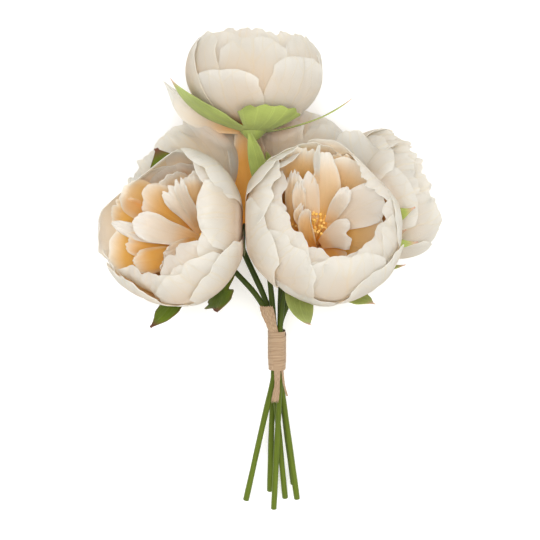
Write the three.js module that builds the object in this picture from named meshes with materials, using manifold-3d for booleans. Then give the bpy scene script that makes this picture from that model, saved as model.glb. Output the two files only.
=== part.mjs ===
// A bunch of six peonies, tied with raffia and laid on its back. Millimetres.
// X is the bunch's right, Y runs from the stem ends to the blooms, Z is up from the surface.
// While it is made, the origin is the middle of the tie. At the end it moves to the middle of the footprint.
import * as THREE from "three";
import { mergeVertices } from "three/addons/utils/BufferGeometryUtils.js";
import Module from "manifold-3d";

const wasm = await Module();
wasm.setup();

// Driving dimensions
const PETAL_THICKNESS = 0.8;
const LEAF_THICKNESS = 0.8;
const GAP = 0.3;
const STEM_DIAMETER = 3.5;
const STEM_SIDES = 6;
const STEM_STEPS = 18;
const TIE_LENGTH = 24.8;
const TIE_TILT_DEGREES = 10;
const TIE_WALL = 0.8;
const TIE_TURNS = 5;
const SURFACE_HEIGHT = -40;
const ROOT_DEGREES = 6;
const SEPAL_OFFSET = 3.1;
const SMALL_BLOOM = 35;
const ROOM_SPREAD = 12;
const SIMPLIFY_TOLERANCE = 0.02;

// How the blooms press on each other and on the surface
const PRESS_CLEARANCE = 0.8;
const PRESS_SOFTNESS = 4;
const SURFACE_SOFTNESS = 3;
const SURFACE_MIDDLE = 0.25;

const DEGREE = Math.PI / 180;
const TOWARD_VIEWER = new THREE.Vector3(0, 0, 1);
const TOWARD_RIGHT = new THREE.Vector3(1, 0, 0);

// Inner petals that stand by hand: direction, half width, cup radius, height, end angle, root lift, notch, ruffle
const RIGHT_FRONT_HEART = [
  [118, 22, 27, 43, 92, 9.5, 0.14, 0.7],
  [66, 26, 29, 46, 96, 9.5, 0.0, 0.4],
  [18, 21, 26, 38, 100, 9.5, 0.2, 0.8],
  [160, 17, 28, 42, 96, 9.5, 0.1, 0.8],
  [235, 25, 27, 36, 98, 9.5, 0.08, 0.7],
  [290, 25, 29, 37, 100, 9.5, 0.06, 0.7],
  [332, 26, 17, 26, 92, 10.5, 0.2, 0.4],
  [196, 26, 13, 26, 86, 10.5, 0.0, 0.2],
];
const LEFT_FRONT_HEART = [
  [150, 27, 28, 43, 96, 9.5, 0.0, 0.5],
  [213, 27, 28, 39, 98, 9.5, 0.06, 0.8],
  [277, 27, 26, 40, 100, 9.5, 0.08, 0.8],
  [340, 27, 27, 44, 94, 9.5, 0.06, 0.7],
  [96, 17, 24, 44, 92, 9.5, 0.2, 0.7],
  [56, 16, 21, 43, 92, 9.5, 0.2, 0.6],
  [188, 34, 17, 36, 98, 10.5, 0.08, 0.6],
];

// Sepals and leaves under a bloom: direction, half width, reach along the bowl, flare out at the tip, cut of the edge
const BLOOMS = [
  {
    name: "right_front",
    centre: [26.3, 75.4, 60],
    facing: [0.25, 0.43, 0.87],
    reference: TOWARD_RIGHT,
    radius: 52.8,
    height: 68,
    turn: 20,
    heart: RIGHT_FRONT_HEART,
    sepals: [
      [257, 17, 0.62, 12, 0.0],
      [309, 12, 0.56, 7, 0.0],
      [10, 10, 0.6, 8, 0.0],
      [348, 10, 0.62, 11, 0.0],
    ],
    strays: [],
  },
  {
    name: "left_front",
    centre: [-61.7, 74.2, 55.5],
    facing: [-0.47, 0.1, 0.88],
    reference: TOWARD_RIGHT,
    radius: 50.5,
    height: 66,
    turn: 47,
    flats: [{ point: [-92.5, 100.5, 55], inward: [0.8, -0.6, 0] }],
    heart: LEFT_FRONT_HEART,
    sepals: [
      [101, 12, 0.62, 6, 0.1],
      [296, 18, 0.6, 6, 0.3],
      [251, 12, 0.62, 11, 0.1],
      [352, 12, 0.62, 2, 0.1],
    ],
    strays: [],
  },
  {
    name: "top",
    centre: [-14.2, 168, 30],
    facing: [0.02, 0.99, -0.12],
    reference: TOWARD_VIEWER,
    radius: 44.6,
    height: 60,
    turn: 12,
    close: 7,
    heart: null,
    sepals: [
      [-68, 15, 0.6, 11, 0.05],
      [38, 28, 0.4, 2, 0.25],
      [96, 4, 0.57, 18, 0.0],
      [190, 14, 0.55, 5, 0.05],
    ],
    strays: [[-84, 24, 12]],
  },
  {
    name: "right_back",
    centre: [67.3, 95, 1.4],
    facing: [0.9, 0.34, -0.2],
    reference: TOWARD_VIEWER,
    radius: 42.5,
    height: 55,
    turn: 33,
    heart: null,
    sepals: [
      [20, 14, 0.55, 3, 0.05],
      [140, 14, 0.55, 4, 0.05],
      [255, 14, 0.55, 4, 0.05],
    ],
    strays: [],
  },
  {
    name: "left_back",
    centre: [-52, 102.5, -0.6],
    facing: [-0.63, 0.68, -0.37],
    reference: TOWARD_VIEWER,
    radius: 42,
    height: 54,
    turn: 5,
    heart: null,
    sepals: [
      [15, 14, 0.5, 2, 0.05],
      [135, 14, 0.5, 3, 0.05],
      [250, 14, 0.5, 3, 0.05],
    ],
    strays: [],
  },
  {
    name: "centre_back",
    centre: [13, 118, -8.5],
    facing: [0.25, 0.71, -0.66],
    reference: TOWARD_VIEWER,
    radius: 33,
    height: 47,
    turn: 28,
    heart: null,
    sepals: [
      [-50, 15, 0.5, 2, 0.05],
      [75, 14, 0.5, 2, 0.05],
      [190, 14, 0.5, 2, 0.05],
    ],
    strays: [],
  },
];

// Each stem: its bloom, its place in the tie (across, deep), its lower end and the points it passes on both sides
const STEMS = [
  {
    name: "left_front",
    slot: [-2, 3.8],
    lower: [[-19.5, -95, -30], [-9.5, -50, -14]],
    upper: [[-13, 34, 9], [-32, 56, 15]],
  },
  {
    name: "right_front",
    slot: [2, 3.8],
    lower: [[-2, -100.6, -31], [0.4, -52, -14.5]],
    upper: [[4.5, 34, 10], [12, 53, 17]],
  },
  {
    name: "top",
    slot: [-2, 0],
    lower: [[5.2, -93.8, -35], [1, -50, -18.5]],
    upper: [[-4.5, 44, 7.5], [-12, 100, 23]],
  },
  {
    name: "right_back",
    slot: [2, 0],
    lower: [[12.7, -94.4, -34.5], [6.6, -50, -18]],
    upper: [[9, 34, 5], [24, 64, 8.5]],
  },
  {
    name: "left_back",
    slot: [-2, -3.8],
    lower: [[-4.5, -89.4, -38.5], [-3.4, -50, -22]],
    upper: [[-8.4, 34, 1.5], [-21, 62, 4]],
  },
  {
    name: "centre_back",
    slot: [2, -3.8],
    lower: [[10.4, -85, -38.5], [5.6, -48, -22]],
    upper: [[2.4, 40, 1], [3.4, 76, 3]],
  },
];

// Repeatable scatter between -1 and 1 from two whole numbers
function scatter(first, second) {
  const value = Math.sin(first * 12.9898 + second * 78.233) * 43758.5453;
  return 2 * (value - Math.floor(value)) - 1;
}

function vector(list) {
  return new THREE.Vector3(list[0], list[1], list[2]);
}

// The frame of a bloom: its middle, its root, the way it faces and two directions across
function bloomFrame(bloom) {
  const facing = vector(bloom.facing).normalize();
  const along = bloom.reference.clone();
  along.addScaledVector(facing, -along.dot(facing)).normalize();
  const across = new THREE.Vector3().crossVectors(facing, along);
  const centre = vector(bloom.centre);
  const root = centre.clone().addScaledVector(facing, -bloom.height / 2);
  return { facing, along, across, centre, root };
}

// How far a bloom reaches from its middle in a direction
function support(bloom, direction) {
  const cosine = vector(bloom.facing).normalize().dot(direction);
  const wide = bloom.radius * bloom.radius * (1 - cosine * cosine);
  const deep = (bloom.height * bloom.height * cosine * cosine) / 4;
  return Math.sqrt(wide + deep);
}

// The flat faces between a bloom and each of the others, after any that the bloom has of its own
function pressFaces(bloom) {
  const faces = (bloom.flats ?? []).map((flat) => ({ point: vector(flat.point), inward: vector(flat.inward) }));
  const centre = vector(bloom.centre);
  for (const other of BLOOMS) {
    if (other.name === bloom.name) {
      continue;
    }
    const away = vector(other.centre).sub(centre);
    const distance = away.length();
    away.normalize();
    const mine = support(bloom, away);
    const theirs = support(other, away);
    const reach = (distance * mine) / (mine + theirs);
    faces.push({ point: centre.clone().addScaledVector(away, reach), inward: away.clone().negate() });
  }
  return faces;
}

// A distance that bends smoothly to stay above a least value
function softFloor(distance, least, softness) {
  if (distance >= least + softness) {
    return distance;
  }
  return least + softness * Math.exp((distance - least - softness) / softness);
}

// Moves a point back from the neighbouring blooms and from the surface
function press(point, faces) {
  for (const face of faces) {
    const distance = point.clone().sub(face.point).dot(face.inward);
    const kept = softFloor(distance, PRESS_CLEARANCE, PRESS_SOFTNESS);
    point.addScaledVector(face.inward, kept - distance);
  }
  const height = point.z - SURFACE_HEIGHT;
  const raised = softFloor(height, SURFACE_MIDDLE - 1, SURFACE_SOFTNESS);
  point.z = SURFACE_HEIGHT + Math.max(raised, SURFACE_MIDDLE);
  return point;
}

// The petals of a bloom, from the outermost layer to the ones round the heart
function petalRows(bloom) {
  const rows = [];
  const size = bloom.radius / 49;
  const seed = bloom.name.length * 7 + Math.round(bloom.radius);
  const layers = [
    { count: 6, radius: 1.0, half: 34, height: 0.94, end: 128, lift: 0, notch: 0.0, ruffle: 0.5, grid: [3, 4] },
    { count: 6, radius: 0.88, half: 33, height: 0.85, end: 126, lift: 3.2, notch: 0.02, ruffle: 0.5, grid: [3, 3] },
    { count: 5, radius: 0.76, half: 37, height: 0.76, end: 124, lift: 6.4, notch: 0.04, ruffle: 0.6, grid: [2, 3] },
  ];
  const kept = bloom.radius < SMALL_BLOOM ? layers.slice(0, 2) : layers;
  kept.forEach((layer, level) => {
    for (let index = 0; index < layer.count; index += 1) {
      const key = seed + level * 31 + index * 5;
      rows.push({
        turn: bloom.turn + level * 27 + (360 / layer.count) * index + 2.5 * scatter(key, 1),
        half: layer.half,
        radius: (bloom.radius - 1.6) * layer.radius,
        height: bloom.height * (layer.height + 0.015 * scatter(key, 2)),
        end: layer.end + (bloom.close ?? 0) + 2 * scatter(key, 3),
        lift: layer.lift,
        notch: layer.notch * (1 + scatter(key, 4)),
        ruffle: layer.ruffle * size,
        phase: 3 * scatter(key, 5),
        side: 1.2,
        flare: 0,
        grid: layer.grid,
      });
    }
  });
  for (const [turn, half, radius, height, end, lift, notch, ruffle] of bloom.heart ?? closedHeart(bloom)) {
    rows.push({
      turn,
      half,
      radius,
      height,
      end,
      lift,
      notch,
      ruffle,
      phase: turn * DEGREE,
      side: 0.6,
      flare: 0,
      grid: [2, 3],
    });
  }
  for (const [turn, half, flare] of bloom.strays) {
    rows.push({
      turn,
      half,
      radius: bloom.radius + 3,
      height: bloom.height * 0.5,
      end: 88,
      lift: -0.9,
      notch: 0,
      ruffle: 0.5,
      phase: 0,
      side: 0,
      flare,
      grid: [3, 3],
    });
  }
  return rows;
}

// Inner petals of a bloom that is seen from its side
function closedHeart(bloom) {
  const rows = [];
  const size = bloom.radius / 49;
  const seed = Math.round(bloom.radius);
  for (let index = 0; index < 4; index += 1) {
    const turn = bloom.turn + 45 + 90 * index + 6 * scatter(seed + index * 3, 6);
    rows.push([turn, 36, 29 * size, bloom.height * 0.7, 100, 9.2, 0.1, 0.7]);
  }
  return rows;
}

// A point on the middle face of a petal: side runs from -1 to 1 across, up from 0 at the root to 1 at the tip
function petalPoint(petal, frame, faces, side, up) {
  const corner = 0.13 * Math.pow(Math.abs(side), 2.6) * up * up;
  const dent = petal.notch * Math.exp(-Math.pow(side / 0.25, 2)) * Math.pow(up, 3);
  const run = up * (1 - corner - dent);
  const bend = (ROOT_DEGREES + (petal.end - ROOT_DEGREES) * run) * DEGREE;
  const scale = petal.height / (1 - Math.cos(petal.end * DEGREE));
  const slopeOut = scale * Math.sin(bend);
  const slopeDown = -petal.radius * Math.cos(bend);
  const slope = Math.hypot(slopeOut, slopeDown);
  const wave = petal.ruffle * Math.pow(up, 3) * Math.sin(5.2 * side + petal.phase + 2.2 * up);
  const push = petal.side * side * Math.min(1, 6 * up) + wave + petal.flare * Math.pow(up, 3);
  const out = petal.radius * Math.sin(bend) + (push * slopeOut) / slope;
  const rise = petal.lift + scale * (1 - Math.cos(bend)) + (push * slopeDown) / slope;
  const width = petal.half * (0.8 + 0.2 * Math.sin(Math.PI * Math.min(1, 1.15 * up)));
  const angle = (petal.turn + side * width) * DEGREE;
  return bloomPoint(frame, faces, angle, out, rise);
}

// A point on the middle face of a sepal, which lies under the outer petals and may flare away at its tip
function sepalPoint(sepal, bloom, frame, faces, side, up) {
  const [turn, half, reach, flare, cut] = sepal;
  const end = 128;
  const run = reach * up;
  const bend = (ROOT_DEGREES + (end - ROOT_DEGREES) * run) * DEGREE;
  const radius = bloom.radius - 1.6;
  const scale = (bloom.height * 0.94) / (1 - Math.cos(end * DEGREE));
  const slopeOut = scale * Math.sin(bend);
  const slopeDown = -radius * Math.cos(bend);
  const slope = Math.hypot(slopeOut, slopeDown);
  const wave = 6 * cut * up * Math.sin(7 * up + 2 * side) * Math.abs(side);
  const push = SEPAL_OFFSET + flare * Math.pow(up, 2.5) + wave;
  const out = radius * Math.sin(bend) + (push * slopeOut) / slope;
  const rise = scale * (1 - Math.cos(bend)) + (push * slopeDown) / slope;
  const swell = Math.sin(Math.PI * (0.16 + 0.8 * up)) * (1 - 0.55 * up);
  const tooth = 1 + cut * Math.sin(17 * up);
  const narrow = Math.max(0.1, swell * 1.5 * tooth);
  const rootWidth = 30 * Math.exp(-9 * up);
  const angle = (turn + side * (half * narrow + rootWidth)) * DEGREE;
  return bloomPoint(frame, faces, angle, out, rise);
}

function bloomPoint(frame, faces, angle, out, rise) {
  const point = frame.root.clone();
  point.addScaledVector(frame.along, out * Math.cos(angle));
  point.addScaledVector(frame.across, out * Math.sin(angle));
  point.addScaledVector(frame.facing, rise);
  return press(point, faces);
}

// A closed blade on a middle face, split alike on both faces
function blade(middle, columns, rows, thickness) {
  const sheet = new THREE.PlaneGeometry(2, 1, columns, rows);
  const places = sheet.getAttribute("position");
  const count = places.count;
  const step = 0.01;
  const corners = new Float32Array(count * 6);
  for (let index = 0; index < count; index += 1) {
    const side = places.getX(index);
    const up = places.getY(index) + 0.5;
    const here = middle(side, up);
    const acrossFrom = middle(side - step, up);
    const acrossTo = middle(side + step, up);
    const alongFrom = middle(side, Math.max(up - step, 0));
    const alongTo = middle(side, Math.min(up + step, 1));
    const normal = acrossTo.sub(acrossFrom).cross(alongTo.sub(alongFrom)).normalize();
    for (const [face, sign] of [[0, 1], [1, -1]]) {
      const corner = here.clone().addScaledVector(normal, (sign * thickness) / 2);
      const at = (face * count + index) * 3;
      corners[at] = corner.x;
      corners[at + 1] = corner.y;
      corners[at + 2] = Math.max(corner.z, SURFACE_HEIGHT);
    }
  }
  const faces = [];
  const split = sheet.getIndex();
  for (let index = 0; index < split.count; index += 3) {
    const a = split.getX(index);
    const b = split.getX(index + 1);
    const c = split.getX(index + 2);
    faces.push(a, b, c, a + count, c + count, b + count);
  }
  const rim = rimLoop(columns, rows);
  for (let index = 0; index < rim.length; index += 1) {
    const a = rim[index];
    const b = rim[(index + 1) % rim.length];
    faces.push(b, a, a + count, b, a + count, b + count);
  }
  const geometry = new THREE.BufferGeometry();
  geometry.setAttribute("position", new THREE.BufferAttribute(corners, 3));
  geometry.setIndex(faces);
  return toSolid(geometry);
}

// The corners round the edge of a split plane, in the order that the front face turns
function rimLoop(columns, rows) {
  const wide = columns + 1;
  const loop = [];
  for (let row = 0; row < rows; row += 1) {
    loop.push(row * wide);
  }
  for (let column = 0; column < columns; column += 1) {
    loop.push(rows * wide + column);
  }
  for (let row = rows; row > 0; row -= 1) {
    loop.push(row * wide + columns);
  }
  for (let column = columns; column > 0; column -= 1) {
    loop.push(column);
  }
  return loop;
}

function toSolid(geometry) {
  const bare = geometry.index ? geometry : geometry.clone();
  bare.deleteAttribute("normal");
  bare.deleteAttribute("uv");
  const welded = mergeVertices(bare, 1e-4);
  return new wasm.Manifold(
    new wasm.Mesh({
      numProp: 3,
      vertProperties: new Float32Array(welded.getAttribute("position").array),
      triVerts: new Uint32Array(welded.getIndex().array),
    }),
  );
}

function join(solids) {
  return wasm.Manifold.union(solids);
}

// A solid cut back from the room that another one needs
function clear(solid, room) {
  return solid.intersect(room).isEmpty() ? solid : solid.subtract(room);
}

// The one largest body: sealed hollows and loose scraps are left out
function mainBody(solid) {
  const bodies = solid.simplify(SIMPLIFY_TOLERANCE).decompose();
  bodies.sort((first, second) => second.volume() - first.volume());
  return bodies[0];
}

// A turned body on the axis of a bloom
function turned(profile, sides, frame) {
  const points = profile.map(([out, rise]) => new THREE.Vector2(out, rise));
  const geometry = new THREE.LatheGeometry(points, sides);
  placeOnBloom(geometry, frame);
  return toSolid(geometry);
}

// Takes a geometry whose Y is the way the bloom faces to its place on the bloom
function placeOnBloom(geometry, frame) {
  const basis = new THREE.Matrix4().makeBasis(frame.across, frame.facing, frame.along);
  geometry.applyMatrix4(basis);
  geometry.translate(frame.root.x, frame.root.y, frame.root.z);
}

// The cream petals of one bloom on their core, or with a margin the room that they need
function petalsSolid(bloom, margin) {
  const frame = bloomFrame(bloom);
  const faces = pressFaces(bloom);
  const spread = 1 + margin / ROOM_SPREAD;
  const solids = petalRows(bloom).map((petal) => {
    const middle = (side, up) => petalPoint(petal, frame, faces, side * spread, up * spread);
    return blade(middle, petal.grid[0], petal.grid[1], PETAL_THICKNESS + 2 * margin);
  });
  const spare = margin;
  const core = [
    [0, -1 - spare],
    [9.5, -1 - spare],
    [13 + spare, 4],
    [8, 12.4 + spare],
    [0, 12.8 + spare],
  ];
  solids.push(turned(core, 6, frame));
  return join(solids);
}

// The yellow heart of one bloom: a knob with short filaments
function heartSolid(bloom) {
  const frame = bloomFrame(bloom);
  const solids = [turned([[0, 13.4], [3.4, 13.4], [3.2, 19], [0, 20.5]], 5, frame)];
  const filaments = 5;
  for (let index = 0; index < filaments; index += 1) {
    const turn = (360 / filaments) * index * DEGREE;
    const length = 9 + 1.5 * scatter(index, 8);
    const filament = new THREE.CylinderGeometry(0.8, 0.6, length, 3);
    filament.rotateX(0.22);
    filament.translate(0, 14 + length / 2, 3.6);
    filament.rotateY(turn);
    placeOnBloom(filament, frame);
    solids.push(toSolid(filament));
  }
  return join(solids);
}

// The green cup of one bloom with its sepals
function calyxSolid(bloom) {
  const frame = bloomFrame(bloom);
  const faces = pressFaces(bloom);
  const solids = bloom.sepals.map((sepal) =>
    blade((side, up) => sepalPoint(sepal, bloom, frame, faces, side, up), 2, 4, LEAF_THICKNESS),
  );
  solids.push(turned([[0, -8.5], [3, -8.5], [8.6, -3], [8.2, -1.3], [0, -1.3]], 7, frame));
  return join(solids);
}

// The line of a stem, from its lower end through the tie to its bloom
function stemCurve(stem) {
  const bloom = BLOOMS.find((candidate) => candidate.name === stem.name);
  const frame = bloomFrame(bloom);
  const tilt = TIE_TILT_DEGREES * DEGREE;
  const along = new THREE.Vector3(0, Math.cos(tilt), Math.sin(tilt));
  const deep = new THREE.Vector3(0, -Math.sin(tilt), Math.cos(tilt));
  const slot = new THREE.Vector3(stem.slot[0], 0, 0).addScaledVector(deep, stem.slot[1]);
  const points = stem.lower.map(vector);
  for (const reach of [-16, -13, 13, 16]) {
    points.push(slot.clone().addScaledVector(along, reach));
  }
  points.push(...stem.upper.map(vector));
  points.push(frame.root.clone().addScaledVector(frame.facing, -20));
  points.push(frame.root.clone().addScaledVector(frame.facing, -8.5 - GAP));
  return new THREE.CatmullRomCurve3(points, false, "centripetal");
}

function circleShape(radius, sides) {
  const points = [];
  for (let index = 0; index < sides; index += 1) {
    const angle = (2 * Math.PI * index) / sides;
    points.push(new THREE.Vector2(radius * Math.cos(angle), radius * Math.sin(angle)));
  }
  return new THREE.Shape(points);
}

function stemSolid(stem, radius) {
  const shape = circleShape(radius, STEM_SIDES);
  const geometry = new THREE.ExtrudeGeometry(shape, { steps: STEM_STEPS, extrudePath: stemCurve(stem) });
  const places = geometry.getAttribute("position");
  for (let index = 0; index < places.count; index += 1) {
    places.setZ(index, Math.max(places.getZ(index), SURFACE_HEIGHT));
  }
  return toSolid(geometry);
}

// Takes a geometry whose Y runs along the tie to the tie's tilt
function placeOnTie(geometry) {
  geometry.rotateX(TIE_TILT_DEGREES * DEGREE);
}

// The wound part of the raffia: a sleeve with a low ridge for each turn
function wrapSolid() {
  const half = TIE_LENGTH / 2;
  const inner = 1;
  const profile = [new THREE.Vector2(inner, -half)];
  const stops = TIE_TURNS * 2;
  for (let index = 0; index <= stops; index += 1) {
    const ridge = index % 2 === 1 ? 0.12 : 0;
    profile.push(new THREE.Vector2(inner + 0.5 + ridge, -half + (TIE_LENGTH * index) / stops));
  }
  profile.push(new THREE.Vector2(inner, half));
  profile.push(new THREE.Vector2(inner, -half));
  const geometry = new THREE.LatheGeometry(profile, 12);
  const places = geometry.getAttribute("position");
  for (let index = 0; index < places.count; index += 1) {
    const across = places.getX(index);
    const deep = places.getZ(index);
    const reach = Math.hypot(across, deep);
    const angle = Math.atan2(deep, across);
    const wall = (reach - inner) * 2 * TIE_WALL;
    places.setX(index, roundedSide(Math.cos(angle)) * (5 + wall));
    places.setZ(index, roundedSide(Math.sin(angle)) * (6.75 + wall));
  }
  placeOnTie(geometry);
  return toSolid(geometry);
}

// Turns a circle's sine or cosine into that of a rounded box
function roundedSide(value) {
  return Math.sign(value) * Math.pow(Math.abs(value), 2 / 2.6);
}

// A flat end of the raffia: middles and half widths from the tie outward, in the tie's own directions
function ribbonSolid(stations) {
  const middles = stations.map(([across, along, deep]) => new THREE.Vector3(across, along, deep));
  const curve = new THREE.CatmullRomCurve3(middles, false, "centripetal");
  const halves = stations.map((station) => station[3]);
  const tilt = TIE_TILT_DEGREES * DEGREE;
  const middle = (side, up) => {
    const point = curve.getPoint(up);
    const place = up * (halves.length - 1);
    const low = Math.min(Math.floor(place), halves.length - 2);
    const half = THREE.MathUtils.lerp(halves[low], halves[low + 1], place - low);
    point.x += side * half;
    point.z -= 0.5 * side * side;
    return point.applyAxisAngle(TOWARD_RIGHT, tilt);
  };
  return blade(middle, 2, 4, LEAF_THICKNESS);
}

// The narrow leaf on the stem of the top bloom
function stemLeafSolid() {
  const spine = new THREE.CatmullRomCurve3(
    [[-9.2, 97, 25.4], [-10.5, 108, 35.5], [-13.5, 122, 43.5], [-17, 135, 47.5]].map(vector),
    false,
    "centripetal",
  );
  const middle = (side, up) => {
    const point = spine.getPoint(up);
    const half = 5.2 * Math.sin(Math.PI * (0.1 + 0.87 * up)) + 0.3;
    point.x += side * half;
    point.z -= 1.4 * (1 - side * side) - side;
    return point;
  };
  return blade(middle, 2, 6, LEAF_THICKNESS);
}

function meshFrom(name, solid, look) {
  const data = mainBody(solid).getMesh();
  const places = new Float32Array((data.vertProperties.length / data.numProp) * 3);
  for (let index = 0; index < places.length / 3; index += 1) {
    places[index * 3] = data.vertProperties[index * data.numProp];
    places[index * 3 + 1] = data.vertProperties[index * data.numProp + 1];
    places[index * 3 + 2] = data.vertProperties[index * data.numProp + 2];
  }
  const geometry = new THREE.BufferGeometry();
  geometry.setAttribute("position", new THREE.BufferAttribute(places, 3));
  geometry.setIndex(Array.from(data.triVerts));
  const mesh = new THREE.Mesh(geometry, new THREE.MeshStandardMaterial(look));
  mesh.name = name;
  return mesh;
}

const CREAM = { color: 0xe6dfd0, roughness: 0.8, metalness: 0 };
const YELLOW = { color: 0xe0a53c, roughness: 0.7, metalness: 0 };
const LIGHT_GREEN = { color: 0xa7bd6b, roughness: 0.6, metalness: 0 };
const DARK_GREEN = { color: 0x5f7316, roughness: 0.6, metalness: 0 };
const STEM_GREEN = { color: 0x55702a, roughness: 0.45, metalness: 0 };
const RAFFIA = { color: 0xc5a27e, roughness: 0.85, metalness: 0 };

const bunch = new THREE.Group();
bunch.name = "bunch_of_peonies";

for (const bloom of BLOOMS) {
  const petals = petalsSolid(bloom, 0);
  const room = petalsSolid(bloom, GAP);
  bunch.add(meshFrom(`petals_${bloom.name}`, petals, CREAM));
  bunch.add(meshFrom(`heart_${bloom.name}`, clear(heartSolid(bloom), room), YELLOW));
  const green = bloom.name === "left_front" ? DARK_GREEN : LIGHT_GREEN;
  bunch.add(meshFrom(`calyx_${bloom.name}`, clear(calyxSolid(bloom), room), green));
}
for (const stem of STEMS) {
  bunch.add(meshFrom(`stem_${stem.name}`, stemSolid(stem, STEM_DIAMETER / 2), STEM_GREEN));
}
bunch.add(meshFrom("leaf_on_top_stem", stemLeafSolid(), LIGHT_GREEN));
bunch.add(meshFrom("tie_wrap", wrapSolid(), RAFFIA));
bunch.add(
  meshFrom("tie_end_above", ribbonSolid([[-2, 12.8, 7.0, 2.7], [-4.4, 20, 7.6, 3.7], [-7, 29.6, 8.4, 4.6]]), RAFFIA),
);
bunch.add(
  meshFrom("tie_end_below", ribbonSolid([[0.2, -12.8, 7, 1.9], [0, -22, 7.2, 1.7], [-1.6, -33.5, 8, 2.6]]), RAFFIA),
);
bunch.add(
  meshFrom("tie_strand_below", ribbonSolid([[3.4, -12.8, 7, 0.7], [4.2, -20, 7.3, 0.6], [6.4, -28.5, 7.8, 0.5]]), RAFFIA),
);

// The origin moves to the middle of the footprint, on the surface
const box = new THREE.Box3().setFromObject(bunch);
const middle = box.getCenter(new THREE.Vector3());
for (const mesh of bunch.children) {
  mesh.geometry.translate(-middle.x, -middle.y, -box.min.z);
}

export default bunch;
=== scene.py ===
import math

import bpy
import numpy as np
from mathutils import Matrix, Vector


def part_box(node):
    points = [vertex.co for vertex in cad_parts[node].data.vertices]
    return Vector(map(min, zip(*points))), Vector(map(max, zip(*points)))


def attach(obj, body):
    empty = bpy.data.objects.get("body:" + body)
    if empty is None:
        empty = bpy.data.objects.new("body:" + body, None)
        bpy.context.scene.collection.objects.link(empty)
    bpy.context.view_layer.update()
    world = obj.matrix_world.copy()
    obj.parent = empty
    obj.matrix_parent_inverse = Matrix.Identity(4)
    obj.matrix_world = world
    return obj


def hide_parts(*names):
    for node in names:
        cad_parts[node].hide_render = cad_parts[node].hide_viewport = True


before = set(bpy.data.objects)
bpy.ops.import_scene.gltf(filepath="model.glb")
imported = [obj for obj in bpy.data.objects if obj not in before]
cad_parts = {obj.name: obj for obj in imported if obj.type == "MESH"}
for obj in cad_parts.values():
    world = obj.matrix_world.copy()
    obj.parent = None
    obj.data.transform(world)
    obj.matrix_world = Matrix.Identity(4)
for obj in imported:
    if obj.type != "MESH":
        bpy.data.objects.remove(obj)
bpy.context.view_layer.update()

bl_info = {
    "name": "Bunch of Peonies",
    "version": (1, 0, 0),
    "blender": (4, 5, 0),
    "location": "3D View > Sidebar > Peonies",
    "description": "Adds six peonies tied with raffia, lying on a pale floor",
    "category": "Add Mesh",
}

# Places are worked out in millimetres from the middle of the tie
# X is the bunch's right, Y runs from the stem ends to the blooms, Z is up from the floor
MILLIMETRE = 0.001
tie_low, tie_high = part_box("tie_wrap")
TIE_MIDDLE = np.array((tie_low + tie_high) / 2)
FLOOR_HEIGHT = -40.0
TOWARD_VIEWER = np.array((0.0, 0.0, 1.0))
TOWARD_RIGHT = np.array((1.0, 0.0, 0.0))
SHARP_DEGREES = 55
GOLDEN_DEGREES = 137.5

# How the blooms press on each other and on the floor
PRESS_CLEARANCE = 0.4
PRESS_SOFTNESS = 3.0
LEAST_HEIGHT = 0.25

# How far the warm shade painted between two touching blooms spreads, and how strong it is
TOUCHING_GAP = 14.0
PAINTED_SHADE_DEPTH = 4.0
PAINTED_SHADE_WIDTH = 42.0
PAINTED_SHADE_WARMTH = 0.6

# The bowl of petals
ROOT_DEGREES = 6.0
PETAL_END = 128
PETAL_OVERLAP = 1.22
BOWL_INSET = 1.6
BOWL_HEIGHT = 0.94
TYPICAL_RADIUS = 49
FOLD_LENGTH = 1.7
FOLD_RISE = 4.0
SEPAL_OFFSET = 3.1
BOWL_GRID = (30, 26)
RING_GRID = (26, 24)
FREE_GRID = (24, 26)
SEPAL_GRID = (16, 44)
LEAF_GRID = (14, 44)
STRIP_GRID = (8, 260)
TIE_END_GRID = (22, 40)
RIM_THINNING = 0.45
ROW_CROWDING = 1.2

# How much the corners of a petal are cut back, how wide its notch is, and where its lip starts to roll
BOWL_CORNERS = 0.13
BOWL_NOTCH = 0.22
FREE_CORNERS = 0.18
FREE_NOTCH = 0.25
LIP_RANGE = (0.72, 1.05)

# Turned parts of a bloom: a profile's points have their distance from its axis and rise over its root
# The up range and the warmth choose their colours in the material of the piece
CORE = dict(
    profile=[(0.5, -1), (9, -1), (11.5, 1), (12.5, 4), (10.5, 9), (8, 12), (0.5, 12.8)],
    sides=24,
    up_range=(0.0, 0.1),
    warmth=0.9,
)
KNOB = dict(
    profile=[(0.3, 13.2), (3.2, 13.4), (3.9, 15), (3.6, 17.5), (2.4, 19.6), (0.3, 20.4)],
    sides=14,
    up_range=(0.0, 0.35),
    warmth=1.0,
)
CUP = dict(
    profile=[(0.5, -8.5), (2.4, -8.4), (4.2, -6.8), (7.4, -3.6), (8.4, -2.4), (8.0, -1.4), (0.5, -1.3)],
    sides=20,
    up_range=(0.02, 0.1),
    warmth=0.0,
)
FILAMENT_RADII = [0.6, 0.56, 0.54, 0.52, 0.5, 0.5, 0.48, 0.45]
FILAMENT_ROOT = 15.0
FILAMENT_LENGTH = 15.0
ANTHER_RADII = [0.55, 1.05, 1.0, 0.4]

# The stems: where the tie holds them, how far under a bloom's root they end, and their rounded cut
STEM_HOLDS = (-16, -13, 13, 16)
STEM_TOPS = (20, 8.8)
STEM_SIDES = 20
CUT_RADIUS = 0.8
CUT_LENGTH = 0.12

# The leaf on the stem of the top bloom
LEAF_LINE = [(-9.2, 97, 25.4), (-10.5, 108, 35.5), (-13.5, 122, 43.5), (-17, 135, 47.5)]
LEAF_HALF_WIDTH = 5.2
LEAF_FOLD = 1.4

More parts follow.
